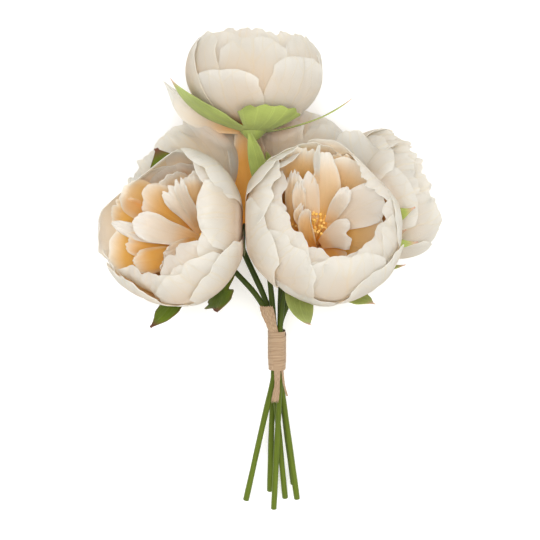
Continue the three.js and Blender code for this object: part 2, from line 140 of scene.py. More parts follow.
# The tie: its wound strip lies on a sleeve round the stems
TIE_TILT = math.radians(10)
TIE_LENGTH = 24.8
WRAP_HALF_ACROSS = 5.0
WRAP_HALF_DEEP = 6.75
WRAP_ROUNDNESS = 2.6
WINDS = 6.2
STRIP_THICKNESS = 0.22
TIE_END_THICKNESS = 0.3
SLEEVE_SIDES = 48
SLEEVE_INSET = 0.3
SLEEVE_WALLS = (0.3, 0.02)

# Each tie end has its middles and half widths from the tie outward, then how much it folds and frays
TIE_ENDS = {
    "tie_end_above": ([(-2, 12.3, 7.0, 2.7), (-4.4, 20, 7.6, 3.7), (-7, 29.6, 8.4, 4.6)], 0.9, 0.06),
    "tie_end_below": ([(0.2, -12.3, 7, 1.9), (0, -22, 7.2, 1.7), (-1.6, -33.5, 8, 2.6)], 0.7, 0.12),
    "tie_strand_below": ([(3.4, -12.3, 7, 0.7), (4.2, -20, 7.3, 0.6), (6.4, -28.5, 7.8, 0.5)], 0.1, 0.05),
}

# The stage, in metres from the middle of the picture
PICTURE_MIDDLE = Vector((-0.00435, 0.0497, 0.03))
LIGHTS = {
    "key_light": dict(place=(-0.1, 0.2, 3.0), size=1.4, share=1.0),
    "fill_light": dict(place=(1.3, -0.5, 2.6), size=2.4, share=0.3),
}
FLOOR_HALF = 20.0


def scatter(first, second):
    """Repeatable scatter between -1 and 1 from two numbers."""
    value = math.sin(first * 12.9898 + second * 78.233) * 43758.5453
    return 2 * (value - math.floor(value)) - 1


def between(low, high, first, second):
    """Repeatable value between low and high."""
    return low + (high - low) * (scatter(first, second) + 1) / 2


def unit(values):
    values = np.array(values, float)
    return values / np.linalg.norm(values)


def smooth(low, high, value):
    """Rises smoothly from 0 at low to 1 at high."""
    share = np.clip((value - low) / (high - low), 0, 1)
    return share * share * (3 - 2 * share)


def soft_floor(distance, least):
    """A distance that bends smoothly to stay above a least value."""
    start = least + PRESS_SOFTNESS
    bent = least + PRESS_SOFTNESS * np.exp(np.minimum(distance - start, 0) / PRESS_SOFTNESS)
    return np.where(distance >= start, distance, bent)


class Bloom:
    """One bloom: its middle, the way it faces, where its turns start, its size and what it is made of."""

    def __init__(self, name, centre, facing, reference, radius, height, sepals, **more):
        self.name = name
        self.centre = np.array(centre, float)
        self.facing = unit(facing)
        self.along = unit(reference - self.facing * float(reference @ self.facing))
        self.across = np.cross(self.facing, self.along)
        self.radius = radius
        self.height = height
        self.root = self.centre - self.facing * height / 2
        self.sepals = sepals
        self.turn = more.get("turn", 0)
        self.close = more.get("close", 0)
        self.flats = more.get("flats", [])
        self.bowl = more.get("bowl")
        self.hearts = more.get("hearts", [])
        self.heart_lean = np.array(more.get("heart_lean", (0.0, 0.0, 0.0)))
        self.strays = more.get("strays", [])
        self.seed = len(name) * 7 + math.floor(radius + 0.5)

    def support(self, direction):
        """How far the bloom reaches from its middle in a direction."""
        cosine = float(self.facing @ direction)
        wide = self.radius**2 * (1 - cosine**2)
        deep = self.height**2 * cosine**2 / 4
        return math.sqrt(wide + deep)

    def at(self, angle, out, rise):
        """Points from their angle round the bloom, distance from its axis and rise over its root."""
        angle = angle[..., None]
        sideways = np.cos(angle) * self.along + np.sin(angle) * self.across
        return self.root + out[..., None] * sideways + rise[..., None] * self.facing

    def press(self, points, flats=()):
        """Moves points back from the neighbouring blooms, any flat faces and the floor."""
        for point, inward in self.press_faces(flats):
            distance = (points - point) @ inward
            kept = soft_floor(distance, PRESS_CLEARANCE)
            points = points + (kept - distance)[..., None] * inward
        raised = soft_floor(points[..., 2] - FLOOR_HEIGHT, LEAST_HEIGHT - 1)
        points[..., 2] = FLOOR_HEIGHT + np.maximum(raised, LEAST_HEIGHT)
        return points

    def press_faces(self, flats=()):
        """The given flat faces, then those between this bloom and the others."""
        faces = [(np.array(point, float), np.array(inward, float)) for point, inward in flats]
        for other in BLOOMS:
            if other.name == self.name:
                continue
            away = other.centre - self.centre
            distance = float(np.linalg.norm(away))
            away = away / distance
            mine = self.support(away)
            reach = distance * mine / (mine + other.support(away))
            faces.append((self.centre + away * reach, -away))
        return faces

    def painted_shade_nearness(self, points):
        """How near points lie to a bloom that touches this one, from 0 to 1: the mask of the warm shade
        painted between them.
        """
        nearest = np.zeros(points.shape[:-1])
        for point, inward in self.press_faces():
            if float(np.linalg.norm(point - self.centre)) > self.support(inward) + TOUCHING_GAP / 2:
                continue
            offset = points - point
            depth = offset @ inward
            beside = np.linalg.norm(offset - depth[..., None] * inward, axis=-1)
            fade = np.maximum(depth - PRESS_CLEARANCE, 0) / PAINTED_SHADE_DEPTH + (beside / PAINTED_SHADE_WIDTH) ** 2
            nearest = np.maximum(nearest, np.exp(-fade))
        return nearest


# What sets some petals of the bowls apart
# The higher its values of outside and inside, the more apricot a petal's outer and inner faces are
WIDE = dict(width=1.15)
FRILLED = dict(frill=0.045, lobes=1.6)
LOBED = dict(frill=0.06, lobes=1.5)
WAVY = dict(frill=0.05, lobes=1.3, ruffle=2.6)
EVEN = dict(frill=0.004, notch=0.0)
RUFFLED = dict(frill=0.11, lobes=1.25, ruffle=1.4)
WARM = dict(inside=1.2)
OPEN = dict(end=114, inside=0.8)
OPEN_PALE = dict(end=114, inside=0.4)
OPEN_FRILLED = dict(end=114, frill=0.05, lobes=1.8, inside=1.0)
PALE = dict(inside=0.5)
CLOSE = dict(lip=-2.2)

# Each bowl, layer by layer from the outside
# A layer has its radius, height and root lift, then each petal's direction, reach and any special shape
OUTER = (1.0, BOWL_HEIGHT, 0.0)
SECOND = (0.95, 0.925, 1.2)
THIRD = (0.9, 0.9, 2.4)
INNER = (0.84, 0.85, 3.6)
RIGHT_FRONT_BOWL = [
    (*OUTER, [(15, 1.0), (76, 0.95, OPEN), (140, 0.96), (203, 0.96), (258, 0.64, CLOSE), (315, 0.9)]),
    (*SECOND, [(42, 1.16, FRILLED), (107, 0.93, OPEN_FRILLED), (168, 1.04), (228, 1.03),
               (287, 1.07, WIDE), (350, 1.1)]),
    (*THIRD, [(60, 0.6, WARM), (146, 1.0), (212, 1.12), (275, 1.0), (328, 1.12)]),
    (*INNER, [(101, 0.5, WARM), (178, 1.1), (243, 1.09), (302, 1.06), (29, 0.5, WARM)]),
]
LEFT_FRONT_BOWL = [
    (*OUTER, [(52, 0.9), (110, 0.94, OPEN_PALE), (167, 0.97), (225, 0.6, CLOSE), (272, 0.66, CLOSE),
              (318, 0.9)]),
    (*SECOND, [(9, 1.07, EVEN), (72, 0.84, OPEN_PALE), (134, 0.6, PALE), (190, 0.6, WARM), (238, 1.0),
               (298, 1.06, WIDE)]),
    (*THIRD, [(34, 0.93), (101, 0.55, PALE), (168, 0.5, WARM), (226, 1.0, dict(lip=1.5)), (290, 1.08),
              (346, 1.05)]),
    (*INNER, [(8, 1.0), (56, 0.45, WARM), (128, 0.45, WARM), (204, 0.45, WARM),
              (252, 1.12, dict(lip=2.5)), (308, 1.2)]),
]
TOP_BOWL = [
    (*OUTER, [(-27, 0.63, WIDE), (46, 0.76), (105, 0.94), (165, 0.92), (222, 0.95), (275, 0.97)]),
    (0.96, 0.94, 1.2, [(-3, 0.9), (60, 0.95), (118, 0.97), (178, 0.95), (238, 0.97), (291, 0.98)]),
    (0.91, 0.94, 1.8, [(-42, 0.95), (26, 0.98, FRILLED), (92, 0.99), (165, 0.99, FRILLED), (240, 0.98)]),
    (0.84, 0.93, 2.6, [(-14, 1.01, LOBED), (52, 1.0, LOBED), (125, 1.0), (200, 1.0, LOBED), (275, 1.0)]),
]
RIGHT_BACK_BOWL = [
    (*OUTER, [(-50, 0.76), (2, 0.78), (84, 0.86), (140, 0.9), (200, 0.9), (255, 0.9)]),
    (0.95, 0.91, 1.2, [(40, 0.97), (-20, 0.92, RUFFLED), (-72, 0.91, RUFFLED), (105, 0.95), (168, 0.94),
                       (228, 0.95)]),
    (0.9, 0.9, 2.2, [(-46, 0.97, RUFFLED), (8, 0.98, RUFFLED), (70, 0.98), (150, 0.98, LOBED), (235, 0.98)]),
    (0.84, 0.89, 3.0, [(-70, 1.0, RUFFLED), (-10, 1.02, RUFFLED), (60, 1.0), (130, 1.0), (210, 1.0)]),
]
LEFT_BACK_BOWL = [
    (*OUTER, [(92, 0.86), (160, 0.9), (215, 0.95), (275, 0.95), (330, 0.93, WAVY)]),
    (0.98, 0.95, 1.0, [(30, 0.95, WAVY), (80, 0.95, WAVY), (140, 0.95), (200, 0.95), (260, 0.95),
                       (322, 0.97, WAVY)]),
    (0.92, 0.95, 2.2, [(8, 1.0, LOBED), (62, 1.0, LOBED), (135, 0.96), (212, 1.0), (285, 1.0)]),
    (0.84, 0.9, 3.6, [(40, 1.0), (110, 1.0), (185, 1.0), (255, 1.0), (325, 1.0)]),
]

# The bowl of a bloom that is hardly seen: count of petals, place and lowest reach of each layer
PLAIN_BOWL = [(6, OUTER, 0.72), (6, SECOND, 0.86), (5, THIRD, 0.94), (5, INNER, 0.95)]

# What a petal has where nothing else is said
PLAIN_PETAL = dict(reach=1.0, width=1.0, notch_at=0.0, lobes=1.0, fold=0.0, pressed=True)

# Rings of petals round a heart seen from its side: count, radius, height, end, lift and half width
HEART_RINGS = [
    (6, 0.74, 0.83, 116, 5.0, 27.2),
    (5, 0.6, 0.76, 108, 6.5, 28.8),
    (4, 0.42, 0.66, 100, 8.5, 30.4),
    (3, 0.26, 0.5, 92, 9.5, 32.0),
]


def laid(*line, **more):
    """A petal laid along a line of points; each has its place and the petal's half width there."""
    plain = dict(cup=1.0, notch=0.0, notch_at=0.0, frill=0.04, lobes=1.0, ruffle=0.9, lip=0.0)
    plain.update(roll_low=0.0, roll_high=0.0, outside=0.35, inside=0.8, pressed=True, grid=FREE_GRID)
    return {**plain, "line": line, **more}


def stray(*line, warmth, **more):
    """A petal that lies loose over its neighbours."""
    return laid(*line, pressed=False, outside=warmth, inside=warmth, **more)


def new_sepal(turn, half, reach, flare, cut=0.05, **more):
    """A sepal by its direction, half width, reach along the bowl, flare at its tip and cut of its edge."""
    return dict(turn=turn, half=half, reach=reach, flare=flare, cut=cut, **more)


# Inner petals of the front blooms
TORN = dict(frill=0.12, lobes=2.2, ruffle=1.6)
RIGHT_FRONT_HEART = [
    laid((19, 76, 44, 5), (17, 94, 48, 10), (15, 112, 58, 13), (17, 126, 67, 13), inside=1.0, **TORN),
    laid((30, 76, 44, 5), (36, 94, 45, 9), (38, 112, 50, 11), (38, 122, 60, 11), inside=1.3, **TORN),
    laid((30, 70, 47, 8), (35, 86, 49, 15), (41.5, 102, 55, 18), (49, 117, 66, 17),
         cup=2, frill=0.02, inside=1.0),
    laid((27.5, 71, 51, 4.5), (28.5, 88, 58, 9.5), (29.5, 105, 66, 10), (29.5, 123, 73, 7),
         cup=-1.5, roll_high=3.5),
    laid((25.5, 103, 68, 0.8), (24.6, 111, 71, 1.7), (24.6, 119, 73, 2.2), (26, 127, 75, 1.4),
         cup=0.8, ruffle=0.5, outside=0.0, inside=0.1),
    laid((13, 74, 54, 3), (9.5, 92, 64, 4.5), (11, 112, 71, 4.5), cup=-2, frill=0.14, lobes=1.8, ruffle=1.6),
    laid((17, 76, 52, 2.5), (13.5, 92, 65, 4), (14, 105, 71, 4),
         cup=2, frill=0.16, lobes=1.5, ruffle=1.6, inside=0.6),
    laid((22, 71, 50, 4), (19.5, 86, 59, 7), (18, 98, 66, 8), (17, 111, 71, 7.5),
         cup=-2, frill=0.07, lobes=1.2, notch=0.1, notch_at=0.2, inside=0.6),
    laid((30, 67, 50, 7), (45, 65, 57, 18), (58, 63, 63, 22), (69, 62, 71, 20), frill=0.02, inside=0.9),
    laid((24, 62, 48, 5), (32, 52, 58, 13), (38, 47, 68, 13), (40, 47, 76, 9), cup=2),
    laid((20, 66, 48, 4), (10, 62, 60, 8), (6, 62, 72, 8), (8, 64, 82, 5), cup=2, inside=0.9),
    laid((30, 73, 52, 3.5), (41, 82.5, 58, 9), (53, 89, 63.5, 12.5), (66, 94, 69, 13),
         cup=1.5, ruffle=1.0, inside=0.45),
    laid((31, 75, 51, 2.5), (35.5, 86, 61, 4.2), (40, 93.5, 69, 5), (43.5, 100, 74, 4.6),
         cup=2, lip=1.5, inside=0.42),
    laid((27, 65.5, 54, 3), (33, 69, 61, 6.5), (40, 71.5, 66, 9.5), (46, 72, 69, 9.5),
         cup=-1, notch=0.2, notch_at=0.05, lip=0.8, inside=0.4),
    laid((21, 70, 52, 2), (16, 78, 62, 2.6), (13, 84, 70, 3), (15.5, 91, 74, 2.4),
         cup=2, frill=0.12, inside=0.7),
    laid((24, 61.5, 54, 2.5), (20, 69, 64, 4.4), (17.8, 79, 71, 5.2), (18.5, 87.5, 75, 4.4),
         cup=2.0, roll_low=4.0, inside=0.9),
]
LEFT_FRONT_HEART = [
    laid((-50, 76, 40, 5), (-56, 92, 46, 10), (-64, 102, 54, 11), (-68, 108, 64, 10), lobes=1.5, inside=0.7),
    laid((-50, 74, 40, 5), (-72, 86, 44, 11), (-88, 95, 50, 12), (-96, 99, 58, 10), inside=1.0),
    laid((-52, 72, 42, 5), (-74, 76, 44, 10), (-92, 84, 48, 11), (-102, 89, 56, 10),
         frill=0.08, lobes=1.8, ruffle=1.6, inside=1.2),
    laid((-50, 70, 46, 6), (-70, 66, 49, 13), (-88, 62, 55, 17), (-104, 62, 63, 16), frill=0.02, inside=1.35),
    laid((-50, 66, 46, 5), (-60, 56, 56, 9), (-68, 51, 68, 9), (-72, 51, 77, 6), frill=0.05, inside=1.0),
    laid((-54, 68, 50, 3), (-68, 66, 54, 6), (-82, 66, 59, 8.5), (-95, 68, 64, 8),
         cup=-1.5, frill=0.08, lobes=1.4, notch=0.08, inside=1.2),
    laid((-54, 64, 52, 3), (-66, 59, 58, 6), (-78, 55.5, 64, 8), (-89, 54, 69, 7.5),
         cup=-1.5, frill=0.08, lobes=1.4, inside=1.15),
    laid((-46, 73, 46, 3), (-58, 80.5, 52, 6.5), (-70, 89.5, 58, 9.5), (-83, 99, 66, 11),
         cup=1.5, lip=1.5, notch=0.07, notch_at=0.45, inside=1.1),
    laid((-52, 71, 50, 3), (-72, 70.5, 57, 4.5), (-88, 73.5, 61, 5), (-102, 79, 64, 4),
         cup=1.5, lip=2.0, frill=0.05, ruffle=1.2, inside=0.42),
    laid((-43, 76, 52, 3), (-42, 88, 64, 4), (-43, 98, 74, 4), cup=2, inside=0.42),
    laid((-45, 78, 50, 3), (-46.5, 92, 60, 6), (-49, 104, 68, 7), (-51, 111, 73, 6.5),
         cup=2, frill=0.06, inside=0.6),
    laid((-46, 76, 52, 3), (-48.5, 88, 62, 5.5), (-52, 99, 70, 6.5), (-54.5, 107.5, 75, 6.5),
         cup=-2, frill=0.06, inside=0.85),
    laid((-47, 74, 52, 2.5), (-52.5, 86, 63, 3.6), (-58.5, 97, 71, 3.8), (-61, 107.5, 76, 4),
         cup=2.5, notch=0.12, frill=0.08, inside=0.42),
    laid((-47, 73, 52, 3), (-54, 84, 61, 5.5), (-61, 92, 69, 7), (-69, 100, 74, 6.5),
         cup=-2, notch=0.08, frill=0.06, lip=1.5, ruffle=1.2, inside=0.42),
    laid((-48, 68.5, 52, 3), (-60, 71, 60, 6), (-70, 73.5, 65, 7.5), (-80, 77, 69, 9), (-88.5, 79.5, 71, 8.5),
         cup=3.0, lip=3.0, ruffle=1.5, inside=0.45),
    laid((-50, 68, 54, 3), (-57, 64.5, 61, 4.5), (-64, 61, 66, 5), (-70, 59, 69, 4),
         cup=2, frill=0.08, lobes=1.5, ruffle=1.6, inside=0.6),
]

# Each bloom has its middle, the way it faces, where its turns start, its radius and its height
# Flats are faces, by a point and the way inward, that flatten its bowl; close bends its rims further in
BLOOMS = [
    Bloom(
        "right_front", (26.3, 75.4, 60), (0.25, 0.43, 0.87), TOWARD_RIGHT, 52.8, 68,
        bowl=RIGHT_FRONT_BOWL,
        hearts=RIGHT_FRONT_HEART,
        heart_lean=(-0.1, 0.62, 0.0),
        flats=[((56, 113.3, 60), (-0.7, -0.714, 0))],
        sepals=[
            new_sepal(257, 18, 0.64, 13, 0.0, point=1.1, skew=8),
            new_sepal(312, 12, 0.535, 6, 0.1),
            new_sepal(10, 10, 0.6, 8, 0.0),
            new_sepal(345, 5, 0.58, 6, 0.0),
        ],
    ),
    Bloom(
        "left_front", (-61.7, 74.2, 55.5), (-0.47, 0.1, 0.88), TOWARD_RIGHT, 50.5, 66,
        bowl=LEFT_FRONT_BOWL,
        hearts=LEFT_FRONT_HEART,
        heart_lean=(0.5, -0.25, -0.1),
        flats=[((-85.5, 107, 55), (0.62, -0.785, 0))],
        sepals=[
            new_sepal(107, 28, 0.58, 9, 0.06),
            new_sepal(296, 18, 0.6, 6, 0.3),
            new_sepal(251, 12, 0.62, 11, 0.1),
            new_sepal(352, 13, 0.66, 5, 0.1),
        ],
    ),
    Bloom(
        "top", (-14.2, 168, 30), (0.02, 0.99, -0.12), TOWARD_VIEWER, 44.6, 60,
        turn=12,
        bowl=TOP_BOWL,
        close=4,
        sepals=[
            new_sepal(-44, 19, 0.62, 8, 0.03, skew=-32),
            new_sepal(22, 40, 0.37, 2, 0.25, blunt=True),
            new_sepal(96, 4, 0.57, 18, 0.0),
            new_sepal(190, 14, 0.55, 5),
        ],
        strays=[stray((-22, 140, 22, 6), (-42, 145, 20, 9), (-58, 153, 21, 8.5), (-71, 167.5, 25, 1.2),
                      warmth=0.4, cup=2)],
    ),
    Bloom(
        "right_back", (67.3, 95, 1.4), (0.9, 0.34, -0.2), TOWARD_VIEWER, 42.5, 55,
        turn=33,
        bowl=RIGHT_BACK_BOWL,
        sepals=[
            new_sepal(29, 10, 0.7, 4, skew=-14),
            new_sepal(44, 9, 0.66, 4),
            new_sepal(140, 14, 0.55, 4),
            new_sepal(255, 14, 0.55, 4),
        ],
        strays=[stray((60, 84, 26, 10), (54, 102, 30, 16), (48, 120, 31, 17), (44, 137, 26, 13),
                      warmth=0.3, cup=-4, frill=0.05, ruffle=1.8)],
    ),
    Bloom(
        "left_back", (-52, 102.5, -0.6), (-0.63, 0.68, -0.37), TOWARD_VIEWER, 42, 54,
        turn=5,
        bowl=LEFT_BACK_BOWL,
        sepals=[new_sepal(15, 14, 0.5, 2), new_sepal(135, 14, 0.5, 3), new_sepal(250, 14, 0.5, 3)],
        # This loose orange petal fills the gap beside the leaf with painted warm shade
        strays=[stray((-35, 84, 10, 5), (-26, 86, 13, 11), (-20.5, 99, 16, 12), (-19, 116, 17, 9),
                      (-21, 150, 12, 8), warmth=1.3, cup=-1)],
    ),
    Bloom(
        "centre_back", (13, 118, -8.5), (0.25, 0.71, -0.66), TOWARD_VIEWER, 33, 47,
        turn=28,
        sepals=[new_sepal(-50, 10, 0.38, 1), new_sepal(75, 14, 0.5, 2), new_sepal(190, 14, 0.5, 2)],
    ),
]

# Each stem has its bloom, its place in the tie and the points below and above the tie
STEMS = [
    ("left_front", (-2, 3.8), [(-19.5, -95, -30), (-9.5, -50, -14)], [(-13, 34, 9), (-32, 56, 15)]),
    ("right_front", (2, 3.8), [(-2, -100.6, -31), (0.4, -52, -14.5)], [(4.5, 34, 10), (12, 53, 17)]),
    ("top", (-2, 0), [(5.2, -93.8, -35), (1, -50, -18.5)], [(-4.5, 44, 7.5), (-12, 100, 23)]),
    ("right_back", (2, 0), [(12.7, -94.4, -34.5), (6.6, -50, -18)], [(9, 34, 5), (24, 64, 8.5)]),
    ("left_back", (-2, -3.8), [(-4.5, -89.4, -38.5), (-3.4, -50, -22)], [(-8.4, 34, 1.5), (-21, 62, 4)]),
    ("centre_back", (2, -3.8), [(10.4, -85, -38.5), (5.6, -48, -22)], [(2.4, 40, 1), (3.4, 76, 3)]),
]


# Petals of a bloom


def bowl_petals(bloom):
    """The petals of the bowl, from the outermost layer inward."""
    petals = []
    for level, (radius, height, lift, places) in enumerate(bloom.bowl or plain_bowl(bloom)):
        half = 180 / len(places) * (PETAL_OVERLAP + 0.03 * level)
        for index, (turn, reach, *special) in enumerate(places):
            key = bloom.seed + level * 31 + index * 5
            petal = dict(
                PLAIN_PETAL,
                turn=turn + 3 * scatter(key, 1),
                radius=(bloom.radius - BOWL_INSET) * radius,
                height=bloom.height * (height + 0.006 * scatter(key, 2)),
                end=PETAL_END,
                lift=lift,
                reach=reach,
                notch=0.02 * (1 + scatter(key, 4)),
                frill=(0.012 + 0.006 * level) * between(0.5, 1.5, key, 8),
                ruffle=0.55 * bloom.radius / TYPICAL_RADIUS,
                lip=between(-0.6, 0.8, key, 7) + 0.35 * level,
                phase=3 * scatter(key, 5),
                side=0.7,
                outside=0.2 + 0.04 * level,
                inside=0.55 + 0.1 * level,
                seed=key,
                grid=BOWL_GRID,
            )
            for changed in special:
                petal.update(changed)
            petal["end"] += bloom.close - level
            petal["half"] = half * petal["width"]
            petals.append(petal)
    return petals


def plain_bowl(bloom):
    """Layers for a bloom that is hardly seen: the outer petals end at uneven heights."""
    layers = []
    for level, (count, layer, low) in enumerate(PLAIN_BOWL):
        places = []
        for index in range(count):
            turn = bloom.turn + level * 27 + 360 / count * index
            places.append((turn, between(low, 1.0, bloom.seed + level * 31 + index * 5, 9)))
        layers.append((*layer, places))
    return layers


def ring_petals(bloom):
    """Rings of ruffled inner petals round the heart of a bloom that is seen from its side."""
    petals = []
    for ring, (count, radius, height, end, lift, half) in enumerate(HEART_RINGS):
        for index in range(count):
            key = bloom.seed + ring * 17 + index * 3
            turn = bloom.turn + 31 * ring + 360 / count * index + 9 * scatter(key, 6)
            petals.append(
                dict(
                    PLAIN_PETAL,
                    turn=turn,
                    half=half,
                    radius=bloom.radius * radius,
                    height=bloom.height * height * between(0.92, 1.03, key, 24),
                    end=end,
                    lift=lift,
                    notch=between(0.0, 0.16, key, 16),
                    notch_at=0.4 * scatter(key, 17),
                    frill=between(0.02, 0.07, key, 15),
                    ruffle=0.7,
                    lip=2.5 * scatter(key, 19),
                    fold=3.0 * scatter(key, 18),
                    phase=math.radians(turn),
                    side=0.6,
                    outside=0.5,
                    inside=between(0.6, 1.0, key, 20),
                    seed=bloom.seed + 200 + len(petals),
                    grid=RING_GRID,
                )
            )
    return petals


def free_petals(bloom):
    """The petals that lie along their own lines: inner ones of a front bloom, or strays."""
    rows = enumerate(bloom.hearts + bloom.strays, bloom.seed + 200)
    return [dict(row, seed=seed, spine=curve_points(row["line"], 12)) for seed, row in rows]


def on_spine(spine, run):
    """Points of a spine at shares of the way along it, from 0 at its start to 1 at its end."""
    place = run * (len(spine) - 1)
    low = np.minimum(place.astype(int), len(spine) - 2)
    share = (place - low)[..., None]
    return spine[low] * (1 - share) + spine[low + 1] * share


def free_surface(petal, bloom, side, up):
    """Middle face of a petal laid along its own line, with its inner face toward the viewer."""
    run = up * (1 - cut_back(petal, side, up, FREE_CORNERS, FREE_NOTCH))
    spine = petal["spine"]
    half = on_spine(spine, up)[..., 3]
    tangent = on_spine(np.gradient(spine[:, :3], axis=0), run)
    tangent /= np.linalg.norm(tangent, axis=-1, keepdims=True)
    sideways = np.cross(TOWARD_VIEWER, tangent)
    sideways /= np.linalg.norm(sideways, axis=-1, keepdims=True)
    inward = np.cross(tangent, sideways)
    seed = petal["seed"]
    raised = petal["cup"] * side**2 * smooth(0, 0.5, up)
    raised += petal["ruffle"] * np.abs(side) ** 2 * up * np.sin(9 * up + 3 * side + 3 * scatter(seed, 25))
    raised += petal["ruffle"] * 0.5 * up**5 * np.sin(10 * side + 3 * scatter(seed, 26))
    raised -= petal["lip"] * smooth(*LIP_RANGE, up)
    rolls = petal["roll_low"] * smooth(0.35, 1, -side) + petal["roll_high"] * smooth(0.35, 1, side)
    raised += rolls * smooth(0.1, 0.5, up)
    narrowed = side - 0.35 * np.sign(side) * rolls / half * smooth(0.35, 1, np.abs(side))
    points = on_spine(spine, run)[..., :3]
    points = points + (narrowed * half)[..., None] * sideways + raised[..., None] * inward
    return bloom.press(points) if petal["pressed"] else points


def cut_back(petal, side, up, corner, notch_width):
    """How much shorter a petal is at its corners, in its notch and between the lobes of its rim."""
    corners = corner * np.abs(side) ** 2.6 * up**2
    dent = petal["notch"] * np.exp(-(((side - petal["notch_at"]) / notch_width) ** 2)) * up**3
    return corners + dent + petal["frill"] * rim_lobes(petal, side) * up**5


def rim_lobes(petal, side):
    """Shallow lobes along the rim: 0 on a lobe and near 1 in the notches between them."""
    seed = petal["seed"]
    place = petal["lobes"] * side
    wide = 1 - np.abs(np.sin(between(2.6, 4.2, seed, 11) * place + 3 * scatter(seed, 12))) ** 0.55
    fine = 1 - np.abs(np.sin(between(7, 10, seed, 13) * place + 3 * scatter(seed, 14))) ** 0.7
    return 0.65 * wide + 0.35 * fine


def bowl_profile(radius, height, end, bend, push):
    """Distance out and rise on the side of a bowl at a bend, with a push outward."""
    scale = height / (1 - math.cos(math.radians(end)))
    slope_out = scale * np.sin(bend)
    slope_down = -radius * np.cos(bend)
    slope = np.hypot(slope_out, slope_down)
    out = radius * np.sin(bend) + push * slope_out / slope
    return out, scale * (1 - np.cos(bend)) + push * slope_down / slope


def petal_surface(petal, bloom, side, up):
    """Middle face of a petal: side runs from -1 to 1 across, up from 0 at the root to 1 at the tip."""
    full = petal["reach"] * up * (1 - cut_back(petal, side, up, BOWL_CORNERS, BOWL_NOTCH))
    bend = np.radians(ROOT_DEGREES + (petal["end"] - ROOT_DEGREES) * np.minimum(full, 1))
    width = petal["half"] * (0.8 + 0.2 * np.sin(np.pi * np.minimum(1, 1.15 * up)))
    angle = np.radians(petal["turn"] + side * width)
    push = petal["side"] * side * np.minimum(1, 6 * up)
    push = push + petal_waves(petal, side, up) + bowl_swell(bloom, angle, up)
    out, rise = bowl_profile(petal["radius"], petal["height"], petal["end"], bend, push)
    beyond = np.maximum(full - 1, 0) * FOLD_LENGTH * petal["radius"]
    rise = rise + petal["lift"] + FOLD_RISE * (1 - np.exp(-beyond / FOLD_RISE))
    return bloom.press(bloom.at(angle, out - beyond, rise), bloom.flats)


def petal_waves(petal, side, up):
    """Waves, rolled lip, fold and crease of one petal, as a push outward."""
    seed = petal["seed"]
    wave = petal["ruffle"] * up**3 * np.sin(5.2 * side + petal["phase"] + 2.2 * up)
    fine = petal["ruffle"] * 0.5 * up**6 * np.sin(15 * side + 3 * scatter(seed, 21))
    lip = petal["lip"] * smooth(*LIP_RANGE, up)
    fold = -petal["fold"] * side**2 * up
    crease_at = 0.6 * scatter(seed, 22) + 0.5 * (up - 0.5) * scatter(seed, 23)
    crease = -0.4 * np.exp(-(((side - crease_at) / 0.09) ** 2)) * smooth(0.25, 0.7, up)
    return wave + fine + lip + fold + crease


def bowl_swell(bloom, angle, up):
    """A slow swelling round the whole bowl, the same for all its petals."""
    waves = 0.0
    for share, count, draw in ((1.0, 2, 31), (0.8, 3, 32), (0.5, 5, 33)):
        waves = waves + share * np.sin(count * angle + 3 * scatter(bloom.seed, draw))
    return 0.7 * waves * smooth(0.1, 0.6, up)


def sepal_surface(sepal, bloom, side, up):
    """Middle face of a sepal, which lies under the outer petals and may flare at its tip."""
    cut = sepal["cut"]
    if "blunt" in sepal:
        lobes = np.abs(np.sin(7.5 * side + 0.6))
        along = up * (1 - 0.16 * np.abs(side) ** 4.0 * up - 0.07 * (1 - lobes) * up**3)
        narrow = 0.85 + 0.15 * smooth(0, 0.6, up)
        pleats = 0.5 * np.sin(15 * side + 1.2) * smooth(0.2, 0.7, up)
        root_width = 55 * np.exp(-6 * up)
    else:
        along = up
        swell = 1.35 * np.sin(np.pi * (0.16 + 0.6 * up)) * (1 - up ** sepal.get("point", 2.4))
        teeth = 1 + cut * np.sin(17 * up) + 0.4 * cut * np.sin(43 * up + 2 * np.sign(side))
        narrow = np.maximum(0.05, swell * teeth)
        pleats = 6 * cut * up * np.sin(7 * up + 2 * side) * np.abs(side)
        root_width = 30 * np.exp(-9 * up)
    bend = np.radians(ROOT_DEGREES + (PETAL_END - ROOT_DEGREES) * sepal["reach"] * along)
    groove = -0.5 * np.exp(-((side / 0.16) ** 2)) * smooth(0.05, 0.3, up) * (1 - 0.5 * up)
    push = SEPAL_OFFSET + sepal["flare"] * up**2.5 + pleats + groove
    radius = bloom.radius - BOWL_INSET
    out, rise = bowl_profile(radius, bloom.height * BOWL_HEIGHT, PETAL_END, bend, push)
    middle = sepal["turn"] + sepal.get("skew", 0.0) * up
    angle = np.radians(middle + side * (sepal["half"] * narrow + root_width))
    return bloom.press(bloom.at(angle, out, rise))


# Meshes


